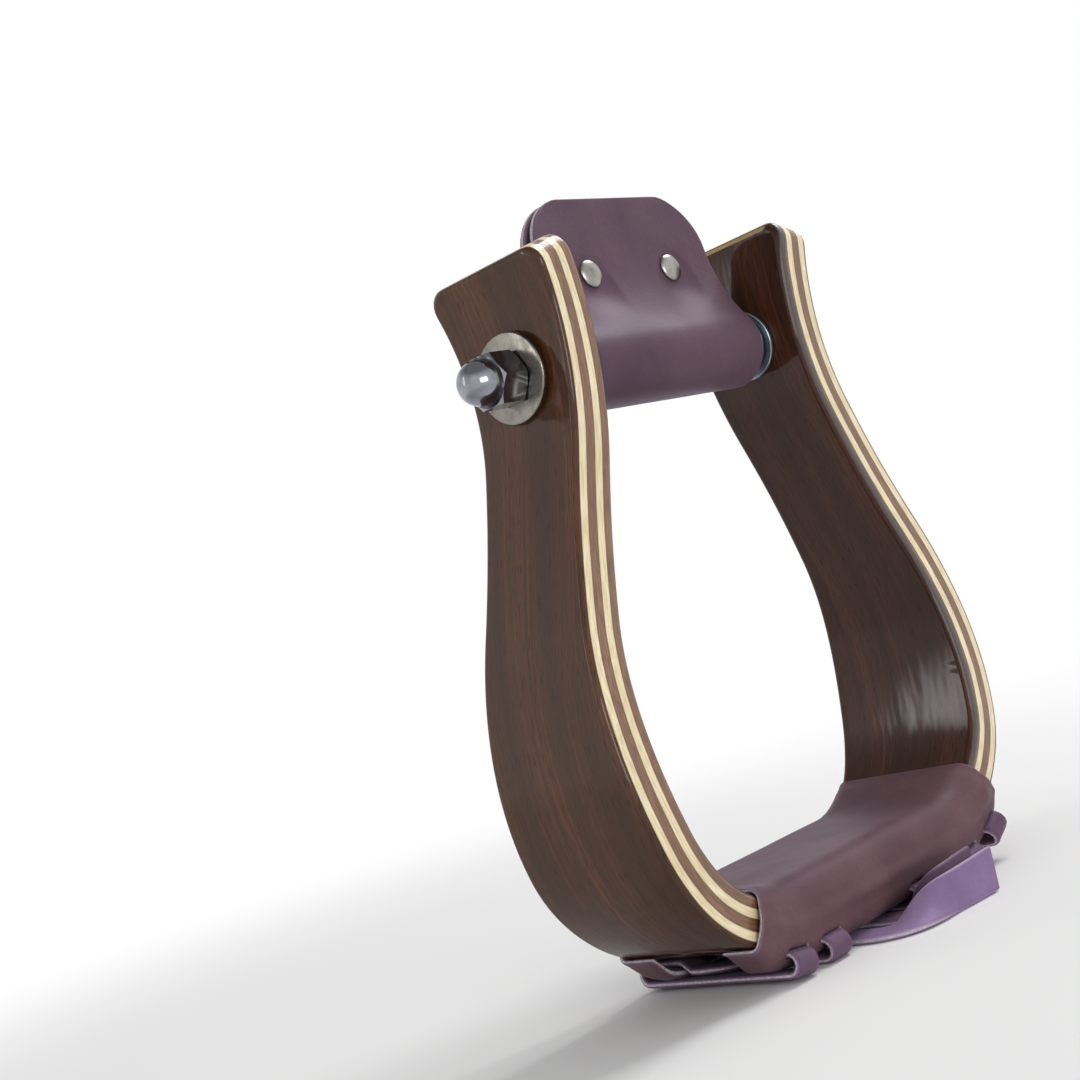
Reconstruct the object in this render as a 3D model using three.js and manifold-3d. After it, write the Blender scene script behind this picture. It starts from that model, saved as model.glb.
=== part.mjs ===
// Bell stirrup of laminated bentwood, with a laced leather tread cover and a leather hanger tab on a roller.
// Millimetres, +Z up. The origin is on the floor, under the middle of the tread. X runs from leg to leg.
// A point on the bentwood is given by (along, across, inward): the length along the outer face from the
// middle of the tread, the place across the width, and the depth from the outer face towards the foot.

import * as THREE from 'three';
import { mergeVertices } from 'three/addons/utils/BufferGeometryUtils.js';
import Module from 'manifold-3d';

const wasm = await Module();
wasm.setup();

// Driving dimensions of the bentwood's outer face, from the middle of the tread to a leg's tip
const treadFlatHalf = 36.9;
const heelRadius = 48.7;
const heelTurn = 75.1;
const bellyRadius = 106;
const bellyTurn = 35.4;
const shankLength = 45.7;
const neckRadius = 86.1;
const neckTurn = 37.1;

// Width of the bentwood, front to back, and the heights where it changes
const treadWidth = 47.7;
const heelWidth = 50.8;
const waistWidth = 36.1;
const tipWidth = 45.7;
const heelHeight = 30;
const waistHeight = 130;

// Layers of the laminate, from the outer face inwards, and the rounding of its edges
const outerVeneerThickness = 1.4;
const paleThickness = 2.8;
const brownThickness = 3.1;
const innerBrownThickness = 3.0;
const innerVeneerThickness = 0.8;
const outerEdgeRadius = 1.4;
const innerEdgeRadius = 3.4;
const tipCornerRadius = 6;
const tipEdgeRadius = 2;

// Bolt and its fittings
const boltDrop = 30.8;
const boltDiameter = 9.5;
const boltThreadEngagement = 11;
const nutAcrossFlats = 14.3;
const nutHexLength = 8.8;
const nutDomeDiameter = 12.7;
const nutLength = 17;
const nutBoreDepth = 12.4;
const outerWasherDiameter = 25.4;
const outerWasherThickness = 1.6;
const innerWasherDiameter = 22;
const innerWasherThickness = 1.6;
const sleeveDiameter = 19;

// Leather hanger: a 3 inch strap folded round the sleeve, riveted above it
const hangerLean = 4;
const hangerWidth = 76;
const hangerLength = 51;
const hangerCornerRadius = 18;
const hangerNeckRadius = 48;
const rivetHeight = 27;
const rivetHalfSpacing = 18.5;
const rivetCapDiameter = 8.6;
const rivetCapHeight = 1.7;
const rivetPostDiameter = 3.2;
const rivetEngagement = 0.8;

// Leather tread cover, wrapped round the tread and laced underneath
const leatherThickness = 2.8;
const coverLeftLength = 60;
const coverRightLength = 72;
const coverLowerCornerRadius = 4;
const flapGap = 26;

// Lace: one thong, laced from both ends of the cover; its last two bars run on at the front as free ends
const laceWidth = 9;
const laceThickness = 2;
const lacePitch = 15;
const leftBars = 2;
const rightBars = 4;
const firstLeftSlot = -45;
const firstRightSlot = 60;
const slotDepthInward = 4.3;
const loopBulge = 1.2;
const laceTurnRadius = 9;
const laceSlack = 0.2;
const tailTipWidth = 12;

// Clearances: between pieces that touch, and round the bolt
const clearance = 0.3;
const boltClearance = 0.4;
const laceEdgeRounding = 0.5;
const floorGap = 0.1;

const degrees = Math.PI / 180;
const laminateThickness = outerVeneerThickness + 2 * paleThickness + brownThickness
  + innerBrownThickness + innerVeneerThickness;

// The wood stands above the floor by the lace, the leather flap and the lace again
const flapInnerDepth = -(laceThickness + 2 * clearance + laceSlack);
const flapOuterDepth = flapInnerDepth - leatherThickness;
const barDepth = flapOuterDepth - clearance - laceThickness / 2;
const innerLaceDepth = -(clearance + laceThickness / 2);
const middleLaceDepth = (barDepth + innerLaceDepth) / 2;
const woodHeight = -(barDepth - laceThickness / 2);

// The outer face as straight runs and arcs, each starting where the last one ends
function traceFace() {
  const runs = [];
  let start = { length: 0, x: 0, z: woodHeight, heading: 0 };
  const add = (length, turn) => {
    const run = { ...start, total: length, turn };
    runs.push(run);
    start = pointOnRun(run, length);
  };
  add(treadFlatHalf, 0);
  add(heelRadius * heelTurn * degrees, heelTurn * degrees);
  add(bellyRadius * bellyTurn * degrees, bellyTurn * degrees);
  add(shankLength, 0);
  add(neckRadius * neckTurn * degrees, -neckTurn * degrees);
  return { runs, length: start.length, tipHeight: start.z };
}

function pointOnRun(run, distance) {
  const heading = run.heading + run.turn * distance / run.total;
  const middle = (heading + run.heading) / 2;
  const half = (heading - run.heading) / 2;
  const chord = distance * (Math.abs(half) > 1e-9 ? Math.sin(half) / half : 1);
  return {
    length: run.length + distance,
    x: run.x + chord * Math.cos(middle),
    z: run.z + chord * Math.sin(middle),
    heading,
  };
}

const face = traceFace();

function pointOnFace(along) {
  const length = Math.abs(along);
  const run = face.runs.findLast((r) => r.length <= length + 1e-9);
  const point = pointOnRun(run, length - run.length);
  return along < 0 ? { x: -point.x, z: point.z, heading: -point.heading } : point;
}

// Point at (along, across, inward) on the bentwood
function place(along, across, inward) {
  const point = pointOnFace(along);
  return new THREE.Vector3(
    point.x - inward * Math.sin(point.heading),
    across,
    point.z + inward * Math.cos(point.heading),
  );
}

// Half the width of the wood, front to back, at a length along the outer face
function halfWidth(along) {
  const height = pointOnFace(along).z - woodHeight;
  const tip = face.tipHeight - woodHeight;
  let width;
  if (height < heelHeight) {
    width = treadWidth + (heelWidth - treadWidth) * easeBoth(height / heelHeight);
  } else if (height < waistHeight) {
    const share = (height - heelHeight) / (waistHeight - heelHeight);
    width = heelWidth + (waistWidth - heelWidth) * easeBoth(share);
  } else {
    width = waistWidth + (tipWidth - waistWidth) * easeIn((height - waistHeight) / (tip - waistHeight));
  }
  const beyondCorner = Math.abs(along) - (face.length - tipCornerRadius);
  return width / 2 - roundOff(tipCornerRadius, tipCornerRadius - beyondCorner);
}

const easeBoth = (t) => (1 - Math.cos(Math.PI * t)) / 2;
const easeIn = (t) => 1 - Math.cos(Math.PI * t / 2);

// How far a rounded edge falls back at a distance from the face that it runs into
function roundOff(radius, distance) {
  const inside = Math.min(Math.max(radius - distance, 0), radius);
  return radius - Math.sqrt(radius * radius - inside * inside);
}

// Lengths along the face where the wood gets a cross-section, close together where it curves
function woodStations() {
  const half = [];
  for (const run of face.runs) {
    const steps = Math.max(Math.round(run.total / 13), Math.ceil(Math.abs(run.turn) / (6.5 * degrees)));
    for (let i = 0; i < steps; i += 1) half.push(run.length + run.total * i / steps);
  }
  const cornerStart = face.length - tipCornerRadius;
  const beforeCorner = half.filter((length) => length > 0 && length < cornerStart - 1);
  for (const angle of [0, 25, 50, 70, 90]) {
    beforeCorner.push(cornerStart + tipCornerRadius * Math.sin(angle * degrees));
  }
  return [...beforeCorner.map((length) => -length).reverse(), 0, ...beforeCorner];
}

// Closed solid through rings of points, with both ends capped; contour is one ring's flat outline
function loft(rings, contour) {
  const positions = rings.flat().flatMap((p) => [p.x, p.y, p.z]);
  const count = contour.length;
  const index = [];
  for (let i = 0; i + 1 < rings.length; i += 1) {
    for (let j = 0; j < count; j += 1) {
      const a = i * count + j;
      const b = i * count + (j + 1) % count;
      index.push(a, b, b + count, a, b + count, a + count);
    }
  }
  const last = (rings.length - 1) * count;
  for (const [a, b, c] of THREE.ShapeUtils.triangulateShape(contour, [])) {
    index.push(a, c, b, last + a, last + b, last + c);
  }
  const geometry = new THREE.BufferGeometry();
  geometry.setAttribute('position', new THREE.Float32BufferAttribute(positions, 3));
  geometry.setIndex(index);
  return geometry;
}

// Geometry to solid and back, for cuts and joins
function solid(geometry) {
  const bare = geometry.clone();
  bare.deleteAttribute('normal');
  bare.deleteAttribute('uv');
  const merged = mergeVertices(bare, 1e-4);
  const triVerts = [];
  for (let i = 0; i < merged.index.count; i += 3) {
    const [a, b, c] = merged.index.array.slice(i, i + 3);
    if (a !== b && b !== c && c !== a) triVerts.push(a, b, c);
  }
  return new wasm.Manifold(new wasm.Mesh({
    numProp: 3,
    vertProperties: new Float32Array(merged.attributes.position.array),
    triVerts: new Uint32Array(triVerts),
  }));
}

function geometryOf(body) {
  const mesh = body.getMesh();
  const geometry = new THREE.BufferGeometry();
  geometry.setAttribute('position', new THREE.Float32BufferAttribute(mesh.vertProperties, 3));
  geometry.setIndex([...mesh.triVerts]);
  return geometry;
}

// Turned piece about the X axis, from a closed profile of (distance along X, radius)
function turned(profile, segments) {
  const points = profile.map(([along, radius]) => new THREE.Vector2(radius, along));
  if (points[0].x > 0) points.push(points[0].clone());
  const geometry = new THREE.LatheGeometry(points, segments);
  geometry.rotateZ(-Math.PI / 2);
  return geometry;
}

const group = new THREE.Group();

function addPiece(name, geometry, look, parent = group) {
  const mesh = new THREE.Mesh(geometry, new THREE.MeshStandardMaterial(look));
  mesh.name = name;
  parent.add(mesh);
  return mesh;
}

const darkWood = { color: 0x4a2f26, roughness: 0.3, metalness: 0 };
const paleWood = { color: 0xdcc690, roughness: 0.55, metalness: 0 };
const brownWood = { color: 0x7a5642, roughness: 0.55, metalness: 0 };
const chrome = { color: 0xc8cacc, roughness: 0.15, metalness: 1 };
const zinc = { color: 0x9a9da0, roughness: 0.35, metalness: 1 };
const leather = { color: 0x54404a, roughness: 0.55, metalness: 0 };
const laceLeather = { color: 0x5c4450, roughness: 0.6, metalness: 0 };

// Bolt axis, and the place on each leg where it passes
const boltHeight = face.tipHeight - boltDrop;
const boltAlong = lengthAtHeight(boltHeight);

function lengthAtHeight(height) {
  let low = face.runs.at(-2).length;
  let high = face.length;
  for (let i = 0; i < 40; i += 1) {
    const middle = (low + high) / 2;
    if (pointOnFace(middle).z < height) low = middle;
    else high = middle;
  }
  return (low + high) / 2;
}

// Drill for the bolt, through both legs
function boltDrill() {
  const hole = new THREE.CylinderGeometry(
    boltDiameter / 2 + boltClearance,
    boltDiameter / 2 + boltClearance,
    4 * pointOnFace(boltAlong).x,
    24,
  );
  hole.rotateZ(Math.PI / 2);
  hole.translate(0, 0, boltHeight);
  return solid(hole);
}

// How far the eased edges of the laminate fall back at a depth from the outer face
function edgeRounding(depth) {
  return roundOff(outerEdgeRadius, depth) + roundOff(innerEdgeRadius, laminateThickness - depth);
}

// One layer of the laminate, between two depths from the outer face
function ply(outerDepth, innerDepth) {
  const depths = [outerDepth];
  const edgeDepths = [outerEdgeRadius * 0.4, laminateThickness - innerEdgeRadius * 0.55];
  for (const depth of edgeDepths) {
    if (depth > outerDepth + 0.3 && depth < innerDepth - 0.3) depths.push(depth);
  }
  depths.push(innerDepth);
  const sides = [...depths.map((depth) => [-1, depth]).reverse(), ...depths.map((depth) => [1, depth])];
  const across = (along, side, depth) => side * (halfWidth(along) - edgeRounding(depth));
  const contour = sides.map(([side, depth]) => new THREE.Vector2(across(0, side, depth), depth));
  const rings = woodStations().map((along) => sides.map(([side, depth]) => {
    const fromFace = Math.min(depth, laminateThickness - depth);
    const nearTip = Math.max(0, 1 - (face.length - Math.abs(along)) / (2 * tipCornerRadius));
    const pulled = along - Math.sign(along) * nearTip * roundOff(tipEdgeRadius, fromFace);
    return place(pulled, across(along, side, depth), depth);
  }));
  return geometryOf(solid(loft(rings, contour)).subtract(boltDrill()));
}

function addLaminate() {
  let depth = 0;
  const addLayer = (name, thickness, look) => {
    addPiece(name, ply(depth, depth + thickness), look);
    depth += thickness;
  };
  addLayer('outer_veneer', outerVeneerThickness, darkWood);
  addLayer('outer_pale_ply', paleThickness, paleWood);
  addLayer('middle_brown_ply', brownThickness, brownWood);
  addLayer('inner_pale_ply', paleThickness, paleWood);
  addLayer('inner_brown_ply', innerBrownThickness, brownWood);
  addLayer('inner_veneer', innerVeneerThickness, darkWood);
}

// At both ends of the cover the flaps taper in to the wood, beyond the last turn of the lace
const leftTaper = coverLeftLength + firstLeftSlot - laceWidth / 2 - 2 * clearance;
const rightTaper = coverRightLength - firstRightSlot - laceWidth / 2 - 2 * clearance;

function standOff(along) {
  const share = along < 0 ? (coverLeftLength + along) / leftTaper : (coverRightLength - along) / rightTaper;
  return easeBoth(Math.min(Math.max(share, 0), 1));
}

function coverStations() {
  const left = leftTaper - coverLeftLength;
  const right = coverRightLength - rightTaper;
  const between = (from, to, steps) => Array.from(
    { length: steps }, (_, i) => from + (to - from) * i / steps,
  );
  return [
    ...between(-coverLeftLength, left, 3), ...between(left, right, 20),
    ...between(right, coverRightLength, 3), coverRightLength,
  ];
}

// Outline of the leather cover's cross-section at a length along the wood
function coverOutline(along) {
  const side = halfWidth(along) + clearance;
  const top = laminateThickness + clearance;
  const upper = innerEdgeRadius + clearance;
  const tight = outerEdgeRadius + clearance;
  const lower = tight + (coverLowerCornerRadius - tight) * standOff(along);
  const flap = (flapInnerDepth + clearance) * standOff(along) - clearance;
  const corner = (outset, right) => {
    const points = [];
    const steps = 4;
    for (let i = 0; i <= steps; i += 1) {
      const angle = (i / steps) * Math.PI / 2;
      points.push([
        right * (side - lower + (lower + outset) * Math.sin(angle)),
        flap + lower - (lower + outset) * Math.cos(angle),
      ]);
    }
    for (let i = 0; i <= steps; i += 1) {
      const angle = (i / steps) * Math.PI / 2;
      points.push([
        right * (side - upper + (upper + outset) * Math.cos(angle)),
        top - upper + (upper + outset) * Math.sin(angle),
      ]);
    }
    return points;
  };
  const outside = [...corner(leatherThickness, 1), ...corner(leatherThickness, -1).reverse()];
  const inside = [...corner(0, 1), ...corner(0, -1).reverse()];
  return [
    [flapGap / 2, flap - leatherThickness], ...outside, [-flapGap / 2, flap - leatherThickness],
    [-flapGap / 2, flap], ...inside.reverse(), [flapGap / 2, flap],
  ];
}

// The slots go straight out through the lower corners of the cover, level with the lace inside the flaps
function slotCutter(along, side) {
  const halfLength = laceWidth / 2 + clearance;
  const inner = halfWidth(along) - slotDepthInward;
  const outer = halfWidth(along) + 2 * leatherThickness;
  const lower = flapInnerDepth - clearance / 3;
  const corners = [[inner, lower], [outer, lower], [outer, 0], [inner, 0]];
  const ordered = side > 0 ? corners : corners.toReversed();
  const rings = [along - halfLength, along + halfLength].map(
    (length) => ordered.map(([across, depth]) => place(length, side * across, depth)),
  );
  return solid(loft(rings, ordered.map(([across, depth]) => new THREE.Vector2(side * across, depth))));
}

function slotRows() {
  const left = Array.from({ length: leftBars }, (_, i) => firstLeftSlot + i * lacePitch);
  const right = Array.from({ length: rightBars }, (_, i) => firstRightSlot - i * lacePitch);
  return {
    rear: [...left, ...right, leftExit, rightExit],
    front: [...left, ...right],
  };
}

// Lengths along the wood where the two free ends come out from under the tread
const leftExit = firstLeftSlot + leftBars * lacePitch;
const rightExit = firstRightSlot - rightBars * lacePitch;

function addTreadCover() {
  const rings = coverStations().map(
    (along) => coverOutline(along).map(([across, depth]) => place(along, across, depth)),
  );
  const contour = coverOutline(0).map(([across, depth]) => new THREE.Vector2(across, depth));
  let cover = solid(loft(rings, contour));
  const slots = slotRows();
  for (const along of slots.front) cover = cover.subtract(slotCutter(along, -1));
  for (const along of slots.rear) cover = cover.subtract(slotCutter(along, 1));
  addPiece('tread_cover', geometryOf(cover), leather);
}

// The lace's cross-section, a flat strip with its edges rounded
function stripOutline(width, thickness) {
  const x = width / 2;
  const y = thickness / 2;
  const r = laceEdgeRounding;
  return [[x, r - y], [x, y - r], [x - r, y], [r - x, y], [-x, y - r], [-x, r - y], [r - x, -y], [x - r, -y]];
}

// A strip's ring: its centre, the direction of its width and that of its thickness
function stripRing({ centre, wide, thick, width = laceWidth }) {
  return stripOutline(width, laceThickness).map(
    ([w, t]) => centre.clone().addScaledVector(wide, w).addScaledVector(thick, t),
  );
}

// A frame given as (along, across, inward), set square to the bentwood at its centre
function setOnWood({ centre, wide, thick }) {
  const origin = place(centre.x, centre.y, centre.z);
  const { heading } = pointOnFace(centre.x);
  const turn = (v) => vector(
    v.x * Math.cos(heading) - v.z * Math.sin(heading), v.y, v.x * Math.sin(heading) + v.z * Math.cos(heading),
  );
  return { centre: origin, wide: turn(wide), thick: turn(thick) };
}

const vector = (x, y, z) => new THREE.Vector3(x, y, z);

// One end of the lace in (along, across, inward), from the middle run to where its free end begins:
// a quarter turn to the rear, then a bar across underneath and a slanting run inside, for each pair of slots
function laceEnd(first, step, bars) {
  const frames = [];
  const outward = -Math.sign(step);
  const add = (along, across, inward, thick, wide = vector(-1, 0, 0)) => {
    frames.push({ centre: vector(along, across, inward), wide, thick });
  };
  for (let i = 0; i <= 6; i += 1) {
    const angle = (i / 6) * Math.PI / 2;
    add(
      first - outward * laceTurnRadius * (1 - Math.sin(angle)),
      laceTurnRadius * (1 - Math.cos(angle)),
      middleLaceDepth,
      vector(0, 0, 1),
      vector(-Math.sin(angle), outward * Math.cos(angle), 0),
    );
  }
  add(first, flapGap / 2 - clearance, innerLaceDepth, vector(0, 0, 1));
  // Half a turn outside the cover's lower corner: out and under at the rear, and back in at the front
  const radius = (innerLaceDepth - barDepth) / 2;
  const loopRound = (along, side) => {
    for (const step of [90, 60, 30, 0, -30, -60, -90]) {
      const angle = side * step * degrees;
      add(
        along,
        side * (halfWidth(along) + clearance + loopBulge + radius * Math.cos(angle)),
        barDepth + radius * (1 + Math.sin(angle)),
        vector(0, side * Math.cos(angle), Math.sin(angle)),
      );
    }
  };
  const insideSlot = (along, side) => {
    add(along, side * (halfWidth(along) - slotDepthInward), innerLaceDepth, vector(0, 0, 1));
  };
  for (let i = 0; i < bars; i += 1) {
    const along = first + i * step;
    loopRound(along, 1);
    loopRound(along, -1);
    insideSlot(along, -1);
    for (const part of [0.25, 0.5, 0.75]) {
      add(along + step * part, -barEnd * (1 - 2 * part), innerLaceDepth, vector(0, 0, 1));
    }
    insideSlot(along + step, 1);
  }
  const exit = first + bars * step;
  loopRound(exit, 1);
  add(exit, -barEnd, barDepth, vector(0, 0, -1));
  return frames;
}

// How far to the front the last bars reach before their free ends carry them on
const barEnd = treadWidth / 2 - slotDepthInward;

function addTreadLace() {
  const left = laceEnd(firstLeftSlot, lacePitch, leftBars);
  const right = laceEnd(firstRightSlot, -lacePitch, rightBars);
  const leftReversed = left.toReversed().map(({ centre, wide, thick }) => ({
    centre, thick, wide: wide.clone().negate(),
  }));
  const middle = [-24, -8, 8, 24, 37, 44].map((along) => ({
    centre: vector(along, 0, middleLaceDepth), wide: vector(0, 1, 0), thick: vector(0, 0, 1),
  }));
  const frames = [...leftReversed, ...middle, ...right];
  const rings = frames.map((frame) => stripRing(setOnWood(frame)));
  const contour = stripOutline(laceWidth, laceThickness).map(([w, t]) => new THREE.Vector2(w, t));
  addPiece('tread_lace', loft(rings, contour), laceLeather);
  console.log(`tread_lace: least gap to itself ${leastGapToSelf(rings, contour).toFixed(2)} mm`);
}

// The lace is cut into short runs, and each is measured against all that lie further off along it
function leastGapToSelf(rings, contour) {
  const ringsPerRun = 5;
  const searchLength = 1;
  const runs = [];
  for (let i = 0; i + 1 < rings.length; i += ringsPerRun) {
    const part = rings.slice(i, i + ringsPerRun + 1);
    runs.push({ body: solid(loft(part, contour)), box: new THREE.Box3().setFromPoints(part.flat()) });
  }
  let least = searchLength;
  runs.forEach((run, i) => {
    const reach = run.box.clone().expandByScalar(searchLength);
    for (const other of runs.slice(i + 2)) {
      if (reach.intersectsBox(other.box)) least = Math.min(least, run.body.minGap(other.body, searchLength));
    }
  });
  return least;
}

// Free end of the lace: it carries its bar on to the front, turns to the right and ends standing on its edge.
// The route is a list of points on the floor, and the turn about its own length grows to endTwist.
function laceTail(exit, route, endTwist) {
  const floorHeight = laceThickness / 2 + floorGap;
  const start = vector(exit, -barEnd - clearance, floorHeight);
  const points = [start, ...route.map(([right, back]) => vector(exit + right, back, floorHeight))];
  const curve = new THREE.CatmullRomCurve3(points, false, 'centripetal');
  const steps = 24;
  const frames = [];
  let wide = vector(1, 0, 0);
  for (let i = 0; i <= steps; i += 1) {
    const t = i / steps;
    const heading = i === 0 ? vector(0, -1, 0) : curve.getTangentAt(t);
    wide = wide.clone().addScaledVector(heading, -wide.dot(heading)).normalize();
    const twist = endTwist * degrees * easeBoth(Math.min(Math.max((t - 0.2) / 0.5, 0), 1));
    const turnedWide = wide.clone().applyAxisAngle(heading, twist);
    const thick = heading.clone().cross(turnedWide);
    const width = laceWidth + (tailTipWidth - laceWidth) * t;
    frames.push({ centre: curve.getPointAt(t), wide: turnedWide, thick, width });
  }
  const rings = frames.map(stripRing);
  for (const ring of rings) {
    const lowest = Math.min(...ring.map((p) => p.z));
    ring.forEach((p) => p.setZ(p.z + Math.max(0, floorGap - lowest)));
  }
  const tip = rings.at(-1);
  const direction = curve.getTangentAt(1);
  tip.forEach((p, i) => p.addScaledVector(direction, stripOutline(1, 1)[i][0] * 2));
  return loft(rings, stripOutline(laceWidth, laceThickness).map(([w, t]) => new THREE.Vector2(w, t)));
}

function addTails() {
  const frontRoute = [[0, -24], [0.5, -30], [4, -36.5], [12, -41], [24, -43.5], [40, -45]];
  const rearRoute = [[0, -24], [1, -28], [4.5, -31.7], [13, -34.5], [29, -36]];
  addPiece('lace_tail_front', laceTail(leftExit, frontRoute, 80), laceLeather);
  addPiece('lace_tail_rear', laceTail(rightExit, rearRoute, 75), laceLeather);
}

// Where a flat piece lies against a leg at the bolt: the leg's slope there, and a place at a given depth
const legSlope = pointOnFace(boltAlong).heading - Math.PI / 2;
const legFaceX = pointOnFace(boltAlong).x;

// Flat ring with its rims eased, starting at x = 0 and going outwards
function washer(diameter, thickness) {
  const hole = boltDiameter / 2 + boltClearance;
  const ease = thickness / 5;
  return turned([
    [0, hole], [0, diameter / 2 - ease], [ease, diameter / 2], [thickness - ease, diameter / 2],
    [thickness, diameter / 2 - ease], [thickness, hole],
  ], 28);
}

// A flat washer bridges the leg's hollow outer face, so it stands off by the depth of the hollow
const washerStandOff = neckRadius - Math.sqrt(neckRadius ** 2 - (outerWasherDiameter / 2) ** 2);
const outerWasherX = legFaceX + (washerStandOff + clearance) / Math.cos(legSlope);
const innerWasherX = legFaceX - (laminateThickness + clearance) / Math.cos(legSlope);
const washerTilt = (diameter) => (diameter / 2) * Math.sin(Math.abs(legSlope));
const nutBaseX = outerWasherX + outerWasherThickness / Math.cos(legSlope)
  + washerTilt(nutAcrossFlats) + clearance;

function addOnLeg(name, geometry, look, side, x) {
  const seat = new THREE.Group();
  seat.position.set(side * x, 0, boltHeight);
  seat.rotation.y = side > 0 ? -legSlope : Math.PI + legSlope;
  group.add(seat);
  return addPiece(name, geometry, look, seat);
}

// Domed nut: a chamfered hexagon with a cylinder and a round crown, and a blind bore from its base
function acornNut() {
  const hexRadius = nutAcrossFlats / Math.sqrt(3);
  const hex = new THREE.CylinderGeometry(hexRadius, hexRadius, nutHexLength, 6);
  hex.rotateZ(-Math.PI / 2);
  hex.translate(nutHexLength / 2, 0, 0);
  const chamfer = hexRadius - nutAcrossFlats / 2;
  const rim = hexRadius + 0.05;
  const chamferLimit = turned([
    [0, 0], [0, nutAcrossFlats / 2 - 0.2], [chamfer, rim], [nutHexLength - chamfer, rim],
    [nutHexLength, nutAcrossFlats / 2 - 0.2], [nutHexLength, 0],
  ], 24);
  const domeRadius = nutDomeDiameter / 2;
  const crown = [[nutHexLength / 2, 0], [nutHexLength / 2, domeRadius]];
  for (let angle = 0; angle < 90; angle += 15) {
    crown.push([
      nutLength - domeRadius + domeRadius * Math.sin(angle * degrees),
      domeRadius * Math.cos(angle * degrees),
    ]);
  }
  crown.push([nutLength, 0]);
  const bore = turned([
    [-1, 0], [-1, boltDiameter / 2 + clearance], [nutBoreDepth, boltDiameter / 2 + clearance],
    [nutBoreDepth + 1.2, 0],
  ], 16);
  return geometryOf(
    solid(hex).intersect(solid(chamferLimit)).add(solid(turned(crown, 28))).subtract(solid(bore)),
  );
}

function addBolt() {
  const end = nutBaseX + boltThreadEngagement;
  const radius = boltDiameter / 2;
  const chamfer = 0.8;
  const stud = turned([
    [-end, 0], [-end, radius - chamfer], [chamfer - end, radius],
    [end - chamfer, radius], [end, radius - chamfer], [end, 0],
  ], 24);
  const bolt = addPiece('bolt', stud, zinc);
  bolt.position.z = boltHeight;
  for (const [name, side] of [['left', -1], ['right', 1]]) {
    const outerWasher = washer(outerWasherDiameter, outerWasherThickness);
    const innerWasher = washer(innerWasherDiameter, innerWasherThickness);
    addOnLeg(`${name}_outer_washer`, outerWasher, chrome, side, outerWasherX);
    const inner = addOnLeg(`${name}_inner_washer`, innerWasher, chrome, side, innerWasherX);
    inner.position.x = -innerWasherThickness;
    const nut = addPiece(`${name}_acorn_nut`, acornNut(), chrome);
    nut.position.set(side * nutBaseX, 0, boltHeight);
    nut.rotation.y = side > 0 ? 0 : Math.PI;
  }
}

// The sleeve fills the room between the inner washers
const sleeveHalfLength = innerWasherX - innerWasherThickness / Math.cos(legSlope)
  - washerTilt(innerWasherDiameter) - clearance;
const loopRadius = sleeveDiameter / 2 + clearance;

// The strap's side view: round the sleeve, closing slowly like a drop, and two layers flat together above
function strapOutline() {
  const middle = loopRadius + leatherThickness / 2;
  const layer = clearance / 2 + leatherThickness / 2;
  const neckX = layer + hangerNeckRadius;
  const neckZ = Math.sqrt((middle + hangerNeckRadius) ** 2 - neckX ** 2);
  const touch = Math.atan2(neckZ, neckX);
  const path = (outset) => {
    const points = [];
    const loopSteps = 14;
    for (let i = 0; i <= loopSteps; i += 1) {
      const angle = -Math.PI / 2 + (touch + Math.PI / 2) * i / loopSteps;
      points.push([(middle + outset) * Math.cos(angle), (middle + outset) * Math.sin(angle)]);
    }
    const neckSteps = 5;
    for (let i = 1; i <= neckSteps; i += 1) {
      const angle = Math.PI + touch * (1 - i / neckSteps);
      points.push([
        neckX + (hangerNeckRadius - outset) * Math.cos(angle),
        neckZ + (hangerNeckRadius - outset) * Math.sin(angle),
      ]);
    }
    points.push([layer + outset, hangerLength]);
    return points;
  };
  const mirror = (points) => points.slice(1).map(([y, z]) => [-y, z]).reverse();
  const whole = (points) => [...mirror(points), ...points];
  return [...whole(path(leatherThickness / 2)), ...whole(path(-leatherThickness / 2)).reverse()];
}

// The strap's front view: straight sides and rounded upper corners
function strapFront() {
  const side = hangerWidth / 2;
  const bottom = -(loopRadius + leatherThickness + 1);
  const cornerX = side - hangerCornerRadius;
  const cornerZ = hangerLength - hangerCornerRadius;
  const shape = new THREE.Shape();
  shape.moveTo(-side, bottom);
  shape.lineTo(side, bottom);
  shape.absarc(cornerX, cornerZ, hangerCornerRadius, 0, Math.PI / 2, false);
  shape.absarc(-cornerX, cornerZ, hangerCornerRadius, Math.PI / 2, Math.PI, false);
  const front = new THREE.ExtrudeGeometry(shape, { depth: 60, bevelEnabled: false, curveSegments: 8 });
  front.translate(0, 0, -30);
  front.rotateX(Math.PI / 2);
  return front;
}

// Cylinder from front to back through the strap at a rivet
function rivetCutter(side, radius, middle, length) {
  const cutter = new THREE.CylinderGeometry(radius, radius, length, 20);
  cutter.translate(side * rivetHalfSpacing, middle, rivetHeight);
  return solid(cutter);
}

// The folded strap, with a hole for each rivet's post and a seat pressed flat under each rivet's two caps
function hangerLeather() {
  const shape = new THREE.Shape(strapOutline().map(([y, z]) => new THREE.Vector2(y, z)));
  const strap = new THREE.ExtrudeGeometry(shape, { depth: 2 * hangerWidth, bevelEnabled: false });
  strap.translate(0, 0, -hangerWidth);
  strap.applyMatrix4(new THREE.Matrix4().makeBasis(vector(0, 1, 0), vector(0, 0, 1), vector(1, 0, 0)));
  let body = solid(strap).intersect(solid(strapFront()));
  const seatDepth = 3;
  for (const side of [-1, 1]) {
    body = body.subtract(rivetCutter(side, rivetPostDiameter / 2 + clearance, 0, 30));
    for (const face of [-1, 1]) {
      const middle = face * (capFace - clearance + seatDepth / 2);
      body = body.subtract(rivetCutter(side, rivetCapDiameter / 2 + clearance, middle, seatDepth));
    }
  }
  return geometryOf(body);
}

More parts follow.
